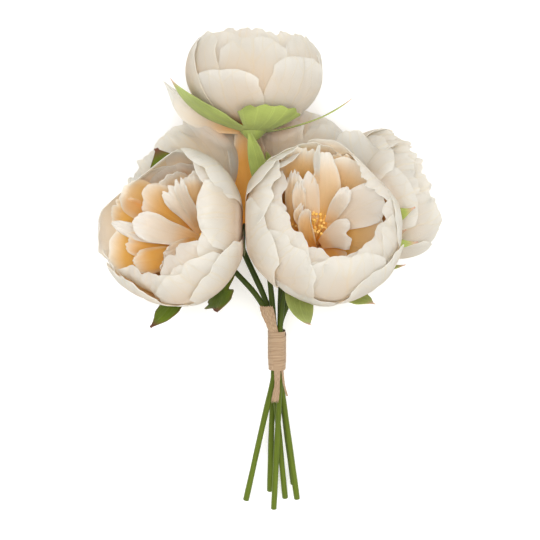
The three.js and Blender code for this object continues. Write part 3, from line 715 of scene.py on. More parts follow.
class Shell:
    """Points, faces and map values of one piece, gathered part by part."""

    def __init__(self):
        self.points = []
        self.faces = []
        self.values = []
        self.count = 0

    def add(self, points, faces, values):
        """Adds a part; values holds side, up, chance and warmth for each of its points."""
        self.points.append(points)
        self.values.append(values)
        for face in faces:
            self.faces.append([corner + self.count for corner in face])
        self.count += len(points)

    def to_object(self, name, material):
        """The finished piece, in metres, with its maps and its material."""
        places = np.concatenate(self.points)
        places[:, 2] = np.maximum(places[:, 2], FLOOR_HEIGHT)
        places = places * MILLIMETRE + TIE_MIDDLE
        mesh = bpy.data.meshes.new(name)
        mesh.from_pydata(places.tolist(), [], self.faces)
        mesh.validate()
        corners = np.empty(len(mesh.loops), dtype=np.int64)
        mesh.loops.foreach_get("vertex_index", corners)
        values = np.concatenate(self.values)[corners]
        for title, start in (("shape_map", 0), ("trait_map", 2)):
            layer = mesh.uv_layers.new(name=title)
            layer.uv.foreach_set("vector", values[:, start : start + 2].ravel())
        mesh.polygons.foreach_set("use_smooth", [True] * len(mesh.polygons))
        mesh.set_sharp_from_angle(angle=math.radians(SHARP_DEGREES))
        mesh.materials.append(material)
        piece = bpy.data.objects.new(name, mesh)
        bpy.context.scene.collection.objects.link(piece)
        return piece


def hand_over(piece, node):
    """Lets a piece stand for its node and ride with the bunch."""
    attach(piece, "root")
    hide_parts(node)


def surface_normals(points):
    """Unit normals of a grid of points, on the side that a petal shows outward."""
    along = np.gradient(points, axis=0)
    across = np.gradient(points, axis=1)
    normals = np.cross(across, along)
    length = np.linalg.norm(normals, axis=-1, keepdims=True)
    return normals / np.maximum(length, 1e-9)


def add_blade(shell, middle, grid, thickness, traits, painted_shade_nearness=None):
    """Adds a closed thin blade on a middle face, thinner toward its rim, with warm shade painted where it
    lies near a touching bloom.
    """
    columns, rows = grid
    share = np.linspace(0, 1, rows + 1)
    side, up = np.meshgrid(np.linspace(-1, 1, columns + 1), 1 - (1 - share) ** ROW_CROWDING)
    points = middle(side, up)
    rim = np.maximum(smooth(0.85, 1, np.abs(side)), smooth(0.9, 1, up))
    half = thickness / 2 * (1 - RIM_THINNING * rim)
    offset = surface_normals(points) * half[..., None]
    count = side.size
    corners = np.concatenate([(points + offset).reshape(-1, 3), (points - offset).reshape(-1, 3)])
    chance, outside, inside = traits
    values = np.zeros((2 * count, 4))
    values[:, 0] = np.tile(side.ravel() * 0.5 + 0.5, 2)
    values[:, 1] = np.tile(up.ravel(), 2)
    values[:, 2] = chance
    values[:count, 3] = outside
    values[count:, 3] = inside
    # Painted shade: the colour turns warmer near a bloom that touches this one
    if painted_shade_nearness is not None:
        values[:, 3] += PAINTED_SHADE_WARMTH * np.tile(painted_shade_nearness(points).ravel(), 2)
    shell.add(corners, blade_faces(columns, rows, count), values)


def blade_faces(columns, rows, count):
    """Quads of the front, the back and the rim of a blade."""
    wide = columns + 1
    faces = []
    for row in range(rows):
        for column in range(columns):
            a = row * wide + column
            b = a + 1
            c = b + wide
            d = a + wide
            faces.append((a, b, c, d))
            faces.append((d + count, c + count, b + count, a + count))
    loop = list(range(columns))
    loop += [row * wide + columns for row in range(rows)]
    loop += [rows * wide + column for column in range(columns, 0, -1)]
    loop += [row * wide for row in range(rows, 0, -1)]
    for a, b in zip(loop, loop[1:] + loop[:1]):
        faces.append((b, a, a + count, b + count))
    return faces


def add_rings(shell, corners, sides, up_range, chance, warmth):
    """Adds a closed body from rings of corners that follow one another."""
    rings = len(corners) // sides
    faces = [tuple(range(sides - 1, -1, -1))]
    for start in range(0, (rings - 1) * sides, sides):
        for turn in range(sides):
            a = start + turn
            b = start + (turn + 1) % sides
            faces.append((a, b, b + sides, a + sides))
    faces.append(tuple(range((rings - 1) * sides, rings * sides)))
    values = np.zeros((len(corners), 4))
    values[:, 0] = np.tile(np.abs(np.linspace(-1, 1, sides)), rings)
    values[:, 1] = np.repeat(np.linspace(*up_range, rings), sides)
    values[:, 2] = chance
    values[:, 3] = warmth
    shell.add(corners, faces, values)


def add_tube(shell, points, radii, sides, chance, up_range=(0.0, 1.0)):
    """Adds a closed round tube along points, with a radius at each."""
    tangents = np.gradient(points, axis=0)
    tangents /= np.linalg.norm(tangents, axis=1, keepdims=True)
    normal = unit(np.cross(tangents[0], (0.31, 0.17, 0.93)))
    turns = np.arange(sides) * 2 * math.pi / sides
    corners = []
    for point, tangent, radius in zip(points, tangents, radii):
        normal = unit(normal - tangent * float(normal @ tangent))
        binormal = np.cross(tangent, normal)
        ring = np.cos(turns)[:, None] * normal + np.sin(turns)[:, None] * binormal
        corners.append(point + ring * radius)
    add_rings(shell, np.concatenate(corners), sides, up_range, chance, 1.0)


def add_turned(shell, bloom, profile, sides, up_range, warmth):
    """Adds a turned body on the axis of a bloom from a profile of distances out and rises."""
    out, rise = np.repeat(np.array(profile, float), sides, axis=0).T
    angle = np.tile(np.arange(sides) * 2 * math.pi / sides, len(profile))
    add_rings(shell, bloom.at(angle, out, rise), sides, up_range, 0.5, warmth)


def curve_points(controls, steps):
    """Points of a smooth curve through the controls, with even steps between each two of them."""
    controls = np.array(controls, float)
    ends = [2 * controls[0] - controls[1], 2 * controls[-1] - controls[-2]]
    padded = np.concatenate([ends[:1], controls, ends[1:]])
    points = []
    for index in range(len(controls) - 1):
        before, start, stop, after = padded[index : index + 4]
        first = max(np.linalg.norm(start - before) ** 0.5, 1e-4)
        second = max(np.linalg.norm(stop - start) ** 0.5, 1e-4)
        third = max(np.linalg.norm(after - stop) ** 0.5, 1e-4)
        leave = (start - before) / first - (stop - before) / (first + second) + (stop - start) / second
        arrive = (stop - start) / second - (after - start) / (second + third) + (after - stop) / third
        leave = leave * second
        arrive = arrive * second
        cube = 2 * start - 2 * stop + leave + arrive
        square = -3 * start + 3 * stop - 2 * leave - arrive
        last = index == len(controls) - 2
        for share in np.linspace(0, 1, steps + 1)[: None if last else -1]:
            points.append(start + leave * share + square * share**2 + cube * share**3)
    return np.array(points)


def on_tie(points):
    """Takes points from the tie's own directions to its tilt."""
    points = np.asarray(points, float)
    cosine = math.cos(TIE_TILT)
    sine = math.sin(TIE_TILT)
    turned = points.copy()
    turned[..., 1] = points[..., 1] * cosine - points[..., 2] * sine
    turned[..., 2] = points[..., 1] * sine + points[..., 2] * cosine
    return turned


# Pieces


def petals_piece(bloom, settings, material):
    """All petals of one bloom on their core."""
    shell = Shell()
    whole = bowl_petals(bloom) + ([] if bloom.hearts else ring_petals(bloom))
    rows = [(petal, petal_surface) for petal in whole]
    rows += [(petal, free_surface) for petal in free_petals(bloom)]
    for petal, surface in rows:
        add_blade(
            shell,
            lambda side, up: surface(petal, bloom, side, up),
            petal["grid"],
            settings.thickness / MILLIMETRE,
            (between(0, 1, petal["seed"], 41), petal["outside"], petal["inside"]),
            # painted warm shade where a pressed petal lies near a touching bloom
            bloom.painted_shade_nearness if petal["pressed"] else None,
        )
    add_turned(shell, bloom, **CORE)
    return shell.to_object(f"peony_petals_{bloom.name}", material)


def heart_piece(bloom, settings, material):
    """The knob of one bloom with its thin filaments and their anthers."""
    shell = Shell()
    add_turned(shell, bloom, **KNOB)
    step = np.linspace(0, 1, len(FILAMENT_RADII))
    for index in range(settings.filaments):
        key = bloom.seed * 3 + index
        share = (index + 0.5) / settings.filaments
        length = (FILAMENT_LENGTH - 3.5 * share + 2.5 * scatter(key, 52)) * step
        tilt = 0.08 + 0.42 * share + 0.1 * scatter(key, 51) + 0.45 * scatter(key, 53) * step
        out = 1.0 + 3.0 * math.sqrt(share) + length * np.sin(tilt)
        rise = FILAMENT_ROOT + length * np.cos(tilt)
        swing = math.radians(GOLDEN_DEGREES * index) + 0.3 * step * scatter(key, 54)
        points = bloom.at(swing, out, rise) + length[:, None] * bloom.heart_lean
        chance = between(0, 1, key, 55)
        add_tube(shell, points, FILAMENT_RADII, 5, chance, (0.2, 0.9))
        tip = points[-1] + (points[-1] - points[-2]) * 0.6
        add_tube(shell, np.linspace(points[-1], tip, 4), ANTHER_RADII, 6, chance, (0.9, 1.0))
    return shell.to_object(f"peony_heart_{bloom.name}", material)


def calyx_piece(bloom, settings, material):
    """The green cup of one bloom with its sepals."""
    shell = Shell()
    for index, sepal in enumerate(bloom.sepals):
        tipped = 0.0 if "blunt" in sepal else 1.0
        add_blade(
            shell,
            lambda side, up: sepal_surface(sepal, bloom, side, up),
            SEPAL_GRID,
            settings.leaf_thickness / MILLIMETRE,
            (between(0, 1, bloom.seed + index, 61), tipped, tipped),
        )
    add_turned(shell, bloom, **CUP)
    return shell.to_object(f"peony_calyx_{bloom.name}", material)


def stem_piece(stem, settings, material):
    """One stem from its rounded cut end, through the tie, to the cup of its bloom."""
    name, (across, deep), lower, upper = stem
    bloom = next(candidate for candidate in BLOOMS if candidate.name == name)
    held = [on_tie((across, reach, deep)) for reach in STEM_HOLDS]
    top = [bloom.root - below * bloom.facing for below in STEM_TOPS]
    points = curve_points([*lower, *held, *upper, *top], 18)
    radius = settings.stem_diameter / 2 / MILLIMETRE
    along = np.linspace(0, 1, len(points))
    radii = radius * (1 + 0.03 * np.sin(40 * along + bloom.seed) + 0.02 * np.sin(93 * along))
    radii[0] = radius * CUT_RADIUS
    points[1] = points[0] + (points[1] - points[0]) * CUT_LENGTH
    shell = Shell()
    add_tube(shell, points, radii, STEM_SIDES, between(0, 1, bloom.seed, 71))
    return shell.to_object(f"peony_stem_{name}", material)


def stem_leaf_piece(settings, material):
    """The narrow leaf on the stem of the top bloom."""
    spine = curve_points(LEAF_LINE, 20)

    def middle(side, up):
        points = on_spine(spine, up)
        half = LEAF_HALF_WIDTH * np.sin(np.pi * (0.1 + 0.87 * up)) + 0.3
        points[..., 0] += side * half
        points[..., 2] -= LEAF_FOLD * (1 - side * side) - side
        points[..., 2] += 0.3 * np.sin(9 * up + 2 * side) * np.abs(side)
        return points

    shell = Shell()
    add_blade(shell, middle, LEAF_GRID, settings.leaf_thickness / MILLIMETRE, (0.4, 0.0, 0.0))
    return shell.to_object("peony_leaf_on_top_stem", material)


def rounded_side(value):
    """Turns a circle's sine or cosine into that of a rounded box."""
    return np.sign(value) * np.abs(value) ** (2 / WRAP_ROUNDNESS)


def wrap_surface(turns, along, offset):
    """Points on the wound tie from the turn angle, the place along it and the height over the stems."""
    across = rounded_side(np.cos(turns)) * (WRAP_HALF_ACROSS + offset)
    deep = rounded_side(np.sin(turns)) * (WRAP_HALF_DEEP + offset)
    return on_tie(np.stack([across, along, deep], axis=-1))


def wrap_piece(settings, material):
    """The wound part of the raffia: a flat strip in overlapping turns on an inner sleeve."""
    shell = Shell()
    half_length = TIE_LENGTH / 2
    half_strip = settings.strip_width / MILLIMETRE / 2

    def strip(side, up):
        turns = 2 * math.pi * WINDS * up + 0.6
        uneven = 0.5 * np.sin(9.0 * up + 1.0) + 0.35 * np.sin(23.0 * up)
        middle = half_length - half_strip - (TIE_LENGTH - 2 * half_strip) * up + uneven
        edge = 0.18 * np.sin(3 * turns + 2) + 0.12 * np.sin(7.3 * turns)
        along = np.clip(middle + side * (half_strip + edge * side), -half_length, half_length)
        offset = 0.52 + 0.2 * side + 0.06 * np.sin(2 * turns + 5 * side)
        return wrap_surface(turns, along, offset)

    add_blade(shell, strip, STRIP_GRID, STRIP_THICKNESS, (0.35, 0.0, 0.0))
    count = SLEEVE_SIDES
    reach = half_length - SLEEVE_INSET
    turns, along = np.meshgrid(np.arange(count) * 2 * math.pi / count, (-reach, reach))
    walls = [wrap_surface(turns, along, offset).reshape(-1, 3) for offset in SLEEVE_WALLS]
    faces = []
    for first, second in ((0, 1), (1, 3), (3, 2), (2, 0)):
        for turn in range(count):
            after = (turn + 1) % count
            ring = first * count
            beyond = second * count
            faces.append((after + ring, turn + ring, turn + beyond, after + beyond))
    values = np.zeros((4 * count, 4))
    values[:, 0] = np.tile(np.linspace(0, 1, count), 4)
    values[:, 1] = np.repeat((0.0, 1.0, 0.0, 1.0), count)
    values[:, 2] = 0.8
    shell.add(np.concatenate(walls), faces, values)
    return shell.to_object("peony_tie_wrap", material)


def tie_end_piece(node, material):
    """One flat end of the raffia, creased along its length and frayed at its tip."""
    stations, fold, fray = TIE_ENDS[node]
    middles = curve_points([station[:3] for station in stations], 24)
    halves = np.interp(np.linspace(0, 2, len(middles)), (0, 1, 2), [station[3] for station in stations])
    spine = np.column_stack([middles, halves])
    seed = len(node)

    def middle(side, up):
        torn = np.abs(np.sin(9 * side + seed)) * 0.6 + 0.4 * np.abs(np.sin(23 * side + 2 * seed))
        reached = on_spine(spine, up * (1 - fray * torn * up**3))
        points = reached[..., :3]
        half = reached[..., 3] * (1 + 0.05 * np.sin(11 * up + seed) + 0.03 * np.sin(31 * up))
        points[..., 0] += side * half
        points[..., 2] -= 0.5 * side * side
        points[..., 2] += fold * 0.5 * np.sin(5.5 * side + 1.5 * up + seed) * smooth(0.05, 0.5, up)
        return on_tie(points)

    shell = Shell()
    add_blade(shell, middle, TIE_END_GRID, TIE_END_THICKNESS, (0.6, 0.0, 0.0))
    return shell.to_object(f"peony_{node}", material)


# Materials

# The places of a mix node's colours among its inputs, and of its colour among its outputs
MIX_COLOURS = (6, 7)
MIX_RESULT = 2


def add_node(tree, kind, **settings):
    made = tree.nodes.new(kind)
    for name, value in settings.items():
        setattr(made, name, value)
    return made


def feed(tree, socket, source):
    """Links a socket to another one, or gives it a plain value."""
    if isinstance(source, bpy.types.NodeSocket):
        tree.links.new(source, socket)
    else:
        socket.default_value = source


def maths(tree, operation, *values, clamp=False):
    made = add_node(tree, "ShaderNodeMath", operation=operation, use_clamp=clamp)
    for socket, value in zip(made.inputs, values):
        feed(tree, socket, value)
    return made.outputs[0]


def plus(tree, first, second, clamp=False):
    return maths(tree, "ADD", first, second, clamp=clamp)


def times(tree, first, second):
    return maths(tree, "MULTIPLY", first, second)


def weighted(tree, *pairs):
    """The sum of some values, each times its share."""
    total = 0.0
    for value, share in pairs:
        total = maths(tree, "MULTIPLY_ADD", value, share, total)
    return total


def from_middle(tree, side):
    """How far from its middle line a place across a piece lies, up to a half."""
    return maths(tree, "ABSOLUTE", maths(tree, "SUBTRACT", side, 0.5))


def remap(tree, *values):
    """A value taken smoothly from one range to another: value, low, high, and both ends of the result."""
    made = add_node(tree, "ShaderNodeMapRange", interpolation_type="SMOOTHSTEP")
    for socket, value in zip(made.inputs, values):
        feed(tree, socket, value)
    return made.outputs["Result"]


def blend(tree, share, first, second):
    """A mix of two colours, each of them a socket or plain values."""
    made = add_node(tree, "ShaderNodeMix", data_type="RGBA")
    feed(tree, made.inputs[0], share)
    for place, source in zip(MIX_COLOURS, (first, second)):
        linked = isinstance(source, bpy.types.NodeSocket)
        feed(tree, made.inputs[place], source if linked else (*source[:3], 1.0))
    return made.outputs[MIX_RESULT]


def noise(tree, place, scale, detail=2.0, kind="FBM", roughness=0.5):
    made = add_node(tree, "ShaderNodeTexNoise", noise_type=kind)
    for title, value in (("Vector", place), ("Scale", scale), ("Detail", detail), ("Roughness", roughness)):
        feed(tree, made.inputs[title], value)
    return made.outputs["Fac"]


def object_place(tree):
    return add_node(tree, "ShaderNodeTexCoord").outputs["Object"]


def separate(tree, source):
    """The first two numbers of a map."""
    parts = add_node(tree, "ShaderNodeSeparateXYZ")
    feed(tree, parts.inputs[0], source)
    return parts.outputs[0], parts.outputs[1]


def start_group(name, outputs, **inputs):
    """A new node group: it puts out numbers, and takes numbers, or a map where the default is None."""
    group = bpy.data.node_groups.new(name, "ShaderNodeTree")
    for title, default in inputs.items():
        kind = "NodeSocketVector" if default is None else "NodeSocketFloat"
        socket = group.interface.new_socket(title, in_out="INPUT", socket_type=kind)
        if default is not None:
            socket.default_value = default
    for title in outputs:
        group.interface.new_socket(title, in_out="OUTPUT", socket_type="NodeSocketFloat")
    return group, add_node(group, "NodeGroupInput").outputs, add_node(group, "NodeGroupOutput").inputs


def repeated_line(tree, place, count, shift, width):
    """Thin soft lines at even steps of a place."""
    steps = plus(tree, times(tree, place, count), shift)
    return remap(tree, maths(tree, "PINGPONG", steps, 0.5), 0.0, width, 1.0, 0.0)


def build_veins(name):
    """Fan of ribs with slanting branches, from a map of side and up."""
    group, given, result = start_group(
        name, ["Line"], Map=None, Ribs=9.0, Branches=7.0, Wander=0.05, Chance=0.5
    )
    bent = noise(group, object_place(group), 90.0)
    side, up = separate(group, given["Map"])
    shift = times(group, maths(group, "SUBTRACT", bent, 0.5), given["Wander"])
    side = plus(group, side, shift)
    up = plus(group, up, shift)
    off_middle = from_middle(group, side)
    slant = maths(group, "SUBTRACT", up, times(group, off_middle, 0.75))
    rib = repeated_line(group, side, given["Ribs"], given["Chance"], 0.09)
    branch = repeated_line(group, slant, given["Branches"], given["Chance"], 0.07)
    finer = maths(group, "MAXIMUM", times(group, rib, 0.5), times(group, branch, 0.4))
    middle = remap(group, off_middle, 0.0, 0.022, 0.7, 0.0)
    feed(group, result["Line"], maths(group, "MAXIMUM", finer, middle))
    return group


def build_weave(name):
    """Fine plain weave of cloth, in object space."""
    group, given, result = start_group(name, ["Height"], Threads=1500.0)
    place = object_place(group)
    waves = []
    for direction in ("X", "Y"):
        wave = add_node(group, "ShaderNodeTexWave", bands_direction=direction, wave_profile="SIN")
        feed(group, wave.inputs["Vector"], place)
        feed(group, wave.inputs["Scale"], given["Threads"])
        wave.inputs["Distortion"].default_value = 1.0
        waves.append(wave.outputs["Fac"])
    feed(group, result["Height"], times(group, *waves))
    return group


def build_creases(name):
    """Soft creases and uneven tone of pressed cloth, in object space."""
    group, given, result = start_group(name, ["Height", "Tone"], Scale=60.0)
    place = object_place(group)
    ridges = noise(group, place, given["Scale"], 3.0, "RIDGED_MULTIFRACTAL", 0.45)
    feed(group, result["Height"], ridges)
    feed(group, result["Tone"], noise(group, place, times(group, given["Scale"], 0.5)))
    return group


def build_fibres(name):
    """Long fibres along a piece, from a map of side and up."""
    group, given, result = start_group(name, ["Value"], Map=None, Across=40.0, Along=3.0)
    joined = add_node(group, "ShaderNodeCombineXYZ")
    for index, (part, title) in enumerate(zip(separate(group, given["Map"]), ("Across", "Along"))):
        feed(group, joined.inputs[index], times(group, part, given[title]))
    feed(group, result["Value"], noise(group, joined.outputs[0], 1.0, 4.0, roughness=0.6))
    return group


def place_group(tree, name, build, **values):
    """The node of a shared group in a material, with its own values."""
    group = bpy.data.node_groups.get(name) or build(name)
    made = add_node(tree, "ShaderNodeGroup", node_tree=group)
    for title, value in values.items():
        feed(tree, made.inputs[title], value)
    return made.outputs


def cloth(tree, shape_map, chance, scale, shares, **veins):
    """Tone, vein lines and height of pressed cloth; shares weigh its veins, creases and weave."""
    creases = place_group(tree, "Pressed cloth", build_creases, Scale=scale)
    line = place_group(tree, "Leaf veins", build_veins, Map=shape_map, Chance=chance, **veins)["Line"]
    weave = place_group(tree, "Fine weave", build_weave, Threads=1500.0)["Height"]
    height = weighted(tree, *zip((line, creases["Height"], weave), shares))
    return creases["Tone"], line, height


def start_material(name):
    material = bpy.data.materials.new(name)
    material.use_nodes = True
    material.node_tree.nodes.clear()
    return material, material.node_tree


def map_parts(tree, title):
    """The two numbers of a map, and the map itself."""
    source = add_node(tree, "ShaderNodeUVMap", uv_map=title).outputs[0]
    return (*separate(tree, source), source)


def finish_material(tree, base, height, **more):
    """A cloth-like surface, with some light passing through it where more says so."""
    surface = add_node(tree, "ShaderNodeBsdfPrincipled")
    feed(tree, surface.inputs["Base Color"], base)
    feed(tree, surface.inputs["Roughness"], more["roughness"])
    surface.inputs["Specular IOR Level"].default_value = more.get("specular", 0.3)
    surface.inputs["Sheen Weight"].default_value = more.get("sheen", 0.0)
    surface.inputs["Emission Strength"].default_value = more.get("glow", 0.0)
    if "glow" in more:
        feed(tree, surface.inputs["Emission Color"], base)
    bump = add_node(tree, "ShaderNodeBump")
    bump.inputs["Strength"].default_value = more.get("strength", 0.6)
    bump.inputs["Distance"].default_value = more.get("distance", 0.0004)
    feed(tree, bump.inputs["Height"], height)
    feed(tree, surface.inputs["Normal"], bump.outputs[0])
    shown = surface.outputs[0]
    if "through" in more:
        passed = add_node(tree, "ShaderNodeBsdfTranslucent")
        feed(tree, passed.inputs["Color"], base)
        feed(tree, passed.inputs["Normal"], bump.outputs[0])
        mix = add_node(tree, "ShaderNodeMixShader")
        for socket, source in zip(mix.inputs, (more["through"], shown, passed.outputs[0])):
            feed(tree, socket, source)
        shown = mix.outputs[0]
    output = add_node(tree, "ShaderNodeOutputMaterial")
    tree.links.new(shown, output.inputs["Surface"])


def petal_material(settings):
    """Cream silk, apricot toward the root and inside, with fine embossed veins."""
    material, tree = start_material("peony_petal_silk")
    side, up, shape_map = map_parts(tree, "shape_map")
    chance, warmth, _ = map_parts(tree, "trait_map")
    tone, line, height = cloth(
        tree, shape_map, chance, 55.0, (0.24, 0.8, 0.06), Ribs=6.0, Branches=2.5, Wander=0.12
    )
    fade = maths(tree, "MULTIPLY_ADD", times(tree, warmth, warmth), 3.0, 0.35)
    depth = maths(tree, "SUBTRACT", 1.0, maths(tree, "POWER", up, fade), clamp=True)
    edge = remap(tree, from_middle(tree, side), 0.3, 0.5, 1.0, 0.55)
    warm = times(tree, times(tree, depth, warmth), edge)
    uneven = times(tree, maths(tree, "SUBTRACT", tone, 0.5), 0.25)
    warm = plus(tree, warm, uneven, clamp=True)
    warm = plus(tree, warm, remap(tree, up, 0.1, 0.42, 0.4, 0.0), clamp=True)
    cream = blend(tree, chance, settings.petal_colour, settings.second_colour)
    cream = blend(tree, remap(tree, warmth, 0.3, 0.7), cream, settings.inner_colour)
    base = blend(tree, warm, cream, settings.apricot_colour)
    deep = times(tree, remap(tree, up, 0.05, 0.42, 1.0, 0.0), remap(tree, warmth, 0.6, 1.3))
    base = blend(tree, deep, base, settings.deep_colour)
    rim = times(tree, remap(tree, up, 0.74, 1.0), remap(tree, warmth, 0.8, 1.2, 0.7, 0.2))
    base = blend(tree, rim, base, settings.rim_colour)
    line = times(tree, line, remap(tree, warmth, 0.3, 0.8, 0.26, 0.06))
    base = blend(tree, line, base, settings.vein_colour)
    passing = remap(tree, warmth, 0.33, 0.42, 1.0, 0.65)
    passing = plus(tree, passing, remap(tree, warmth, 0.55, 0.95, 0.0, 0.25))
    finish_material(
        tree,
        base,
        height,
        roughness=remap(tree, tone, 0.3, 0.7, 0.66, 0.84),
        sheen=0.15,
        through=times(tree, passing, settings.through),
        strength=0.8,
        distance=0.0007,
    )
    return material


def leaf_material(name, body, tip, edge_colour, edge_share):
    """Green cloth leaf with a midrib, side veins and a brownish tip."""
    material, tree = start_material(name)
    side, up, shape_map = map_parts(tree, "shape_map")
    chance, tipped, _ = map_parts(tree, "trait_map")
    tone, line, height = cloth(
        tree, shape_map, chance, 90.0, (-0.6, 0.4, 0.08), Ribs=5.0, Branches=9.0, Wander=0.05
    )
    darker = [value * 0.72 for value in body]
    base = blend(tree, remap(tree, tone, 0.3, 0.7), darker, body)
    lighter = [min(1.0, value * 1.35 + 0.02) for value in body]
    base = blend(tree, times(tree, line, 0.45), base, lighter)
    edge = times(tree, remap(tree, from_middle(tree, side), 0.38, 0.5), edge_share)
    base = blend(tree, edge, base, edge_colour)
    base = blend(tree, times(tree, remap(tree, up, 0.86, 0.99), tipped), base, tip)
    finish_material(tree, base, height, roughness=0.6, sheen=0.1, through=0.1)
    return material


def stem_material(settings):
    """Moulded green stem, with shade painted darker under the blooms, faint lines along it and a pale cut
    end.
    """
    material, tree = start_material("peony_stem_green")
    _, up, shape_map = map_parts(tree, "shape_map")
    lines = place_group(tree, "Long fibres", build_fibres, Map=shape_map, Across=7.0, Along=18.0)["Value"]
    low = remap(tree, up, 0.0, 0.36, 1.0, 0.0)
    base = blend(tree, low, settings.stem_colour, settings.stem_low_colour)
    # Painted shade: the stem turns darker toward the blooms above it
    base = blend(tree, remap(tree, up, 0.45, 0.75), base, settings.stem_painted_shade_colour)
    darker = blend(tree, 0.35, base, (0.02, 0.03, 0.005))
    base = blend(tree, remap(tree, lines, 0.35, 0.65), darker, base)
    base = blend(tree, remap(tree, up, 0.0, 0.004, 0.6, 0.0), base, (0.5, 0.52, 0.3))
    roughness = remap(tree, lines, 0.3, 0.7, 0.52, 0.38)
    finish_material(tree, base, lines, roughness=roughness, specular=0.15, strength=0.35)
    return material


def heart_material(settings):
    """Orange at the root of the filaments, yellow above and pale at the tips."""
    material, tree = start_material("peony_heart_yellow")
    _, up, _ = map_parts(tree, "shape_map")
    chance, _, _ = map_parts(tree, "trait_map")
    speckle = noise(tree, object_place(tree), 900.0, 3.0)
    base = blend(tree, remap(tree, up, 0.15, 0.5), settings.root_colour, settings.filament_colour)
    base = blend(tree, remap(tree, up, 0.6, 0.95), base, settings.anther_colour)
    paler = blend(tree, 0.4, base, (0.95, 0.8, 0.5))
    base = blend(tree, times(tree, chance, 0.7), base, paler)
    deeper = blend(tree, 0.3, base, settings.root_colour)
    base = blend(tree, speckle, deeper, base)
    finish_material(tree, base, speckle, roughness=0.7, strength=0.3, distance=0.0002)
    return material


def raffia_material(settings):
    """Dry straw-coloured fibre, streaked along its length."""
    material, tree = start_material("peony_raffia_straw")
    side, _, shape_map = map_parts(tree, "shape_map")
    fibres = place_group(tree, "Long fibres", build_fibres, Map=shape_map, Across=16.0, Along=9.0)["Value"]
    base = blend(tree, remap(tree, fibres, 0.32, 0.68), settings.deep_colour, settings.straw_colour)
    edge = times(tree, remap(tree, from_middle(tree, side), 0.42, 0.5), 0.55)
    base = blend(tree, edge, base, settings.deep_colour)
    finish_material(
        tree, base, fibres, roughness=0.8, sheen=0.1, strength=0.8, distance=0.0003, through=0.08
    )
    return material


def floor_material(settings):
    """Plain pale floor with a barely uneven tone."""
    material, tree = start_material("pale_floor")
    tone = noise(tree, object_place(tree), 2.0)
    darker = [value * 0.985 for value in settings.floor_colour]
    base = blend(tree, tone, darker, settings.floor_colour)
    finish_material(tree, base, tone, roughness=0.9, specular=0.1, strength=0.02, glow=settings.floor_glow)
    return material


# Settings


def colour_setting(title, text, default):
    return bpy.props.FloatVectorProperty(
        name=title, description=text, default=default, subtype="COLOR", size=3, min=0.0, max=1.0
    )


def length_setting(title, text, default):
    return bpy.props.FloatProperty(
        name=title, description=text, default=default, min=0.0, unit="LENGTH", subtype="DISTANCE", precision=5
    )


def number_setting(title, text, default, **limits):
    return bpy.props.FloatProperty(name=title, description=text, default=default, min=0.0, **limits)


class PeonyPetalSettings(bpy.types.PropertyGroup):
    """Sizes and colours of the petals."""

    thickness: length_setting("Petal thickness", "Thickness of a petal", 0.00045)
    petal_colour: colour_setting("Petals", "Main cream of the petals", (0.86, 0.848, 0.808))
    second_colour: colour_setting("Second cream", "Cream that some petals lean to", (0.88, 0.872, 0.842))
    inner_colour: colour_setting("Inner cream", "Cream on the inner faces", (0.99, 0.94, 0.86))
    apricot_colour: colour_setting("Apricot", "Colour toward the root and inside", (1.0, 0.64, 0.18))
    deep_colour: colour_setting("Deep apricot", "Colour at the root of the inner petals", (0.97, 0.44, 0.08))
    rim_colour: colour_setting("Rims", "Colour along the rims", (0.93, 0.92, 0.885))
    vein_colour: colour_setting("Veins", "Colour of the embossed veins", (0.93, 0.8, 0.52))
    through: number_setting("Light through", "Share of the light that passes through a petal", 0.7, max=1.0)


class PeonyHeartSettings(bpy.types.PropertyGroup):
    """Number and colours of the filaments."""

    filaments: bpy.props.IntProperty(
        name="Filaments", description="Filaments round the knob of each heart", default=110, min=1
    )
    root_colour: colour_setting("Roots", "Colour at the root of the filaments", (0.6, 0.19, 0.015))
    filament_colour: colour_setting("Filaments", "Colour of the filaments", (0.97, 0.43, 0.025))
    anther_colour: colour_setting("Anthers", "Colour at the tips", (1.0, 0.64, 0.14))


class PeonyGreenSettings(bpy.types.PropertyGroup):
    """Sizes and colours of the stems, sepals and leaf."""

    stem_diameter: length_setting("Stem diameter", "Diameter of a stem", 0.0036)
    leaf_thickness: length_setting("Leaf thickness", "Thickness of a sepal or leaf", 0.0006)
    stem_colour: colour_setting("Stems", "Colour along the stems", (0.075, 0.105, 0.006))
    stem_low_colour: colour_setting("Stem ends", "Colour toward the lower ends", (0.13, 0.18, 0.018))
    # Painted shade on the stems under the blooms
    stem_painted_shade_colour: colour_setting("Stem tops", "Colour under the blooms", (0.04, 0.06, 0.007))
    light_colour: colour_setting("Light sepals", "Colour of the light sepals and leaf", (0.45, 0.54, 0.135))
    dark_colour: colour_setting("Dark sepals", "Colour of the dark sepals", (0.14, 0.215, 0.006))
    light_tip_colour: colour_setting("Light tips", "Tips of the light sepals", (0.66, 0.43, 0.32))
    dark_tip_colour: colour_setting("Dark tips", "Tips of the dark sepals", (0.16, 0.06, 0.035))


class PeonyRaffiaSettings(bpy.types.PropertyGroup):
    """Width and colours of the raffia."""

    strip_width: length_setting("Strip width", "Width of the wound strip", 0.0066)
    straw_colour: colour_setting("Straw", "Main colour of the raffia", (0.51, 0.36, 0.235))
    deep_colour: colour_setting("Straw streaks", "Colour of the streaks in it", (0.34, 0.22, 0.13))


class PeonyStageSettings(bpy.types.PropertyGroup):
    """Floor, lights and camera."""

    floor_colour: colour_setting("Floor", "Colour of the floor", (0.95, 0.95, 0.945))
    floor_glow: number_setting("Floor glow", "Light that comes up through the floor", 0.2)
    camera_distance: length_setting("Camera distance", "From the camera to the middle of the bunch", 5.0)
    field_width: length_setting("Field width", "Width that the picture takes in", 0.33534)
    key_power: number_setting("Key light", "Power of the main light", 47.0)
    sky: number_setting("Soft light", "Strength of the light all round", 0.88)


# Operators


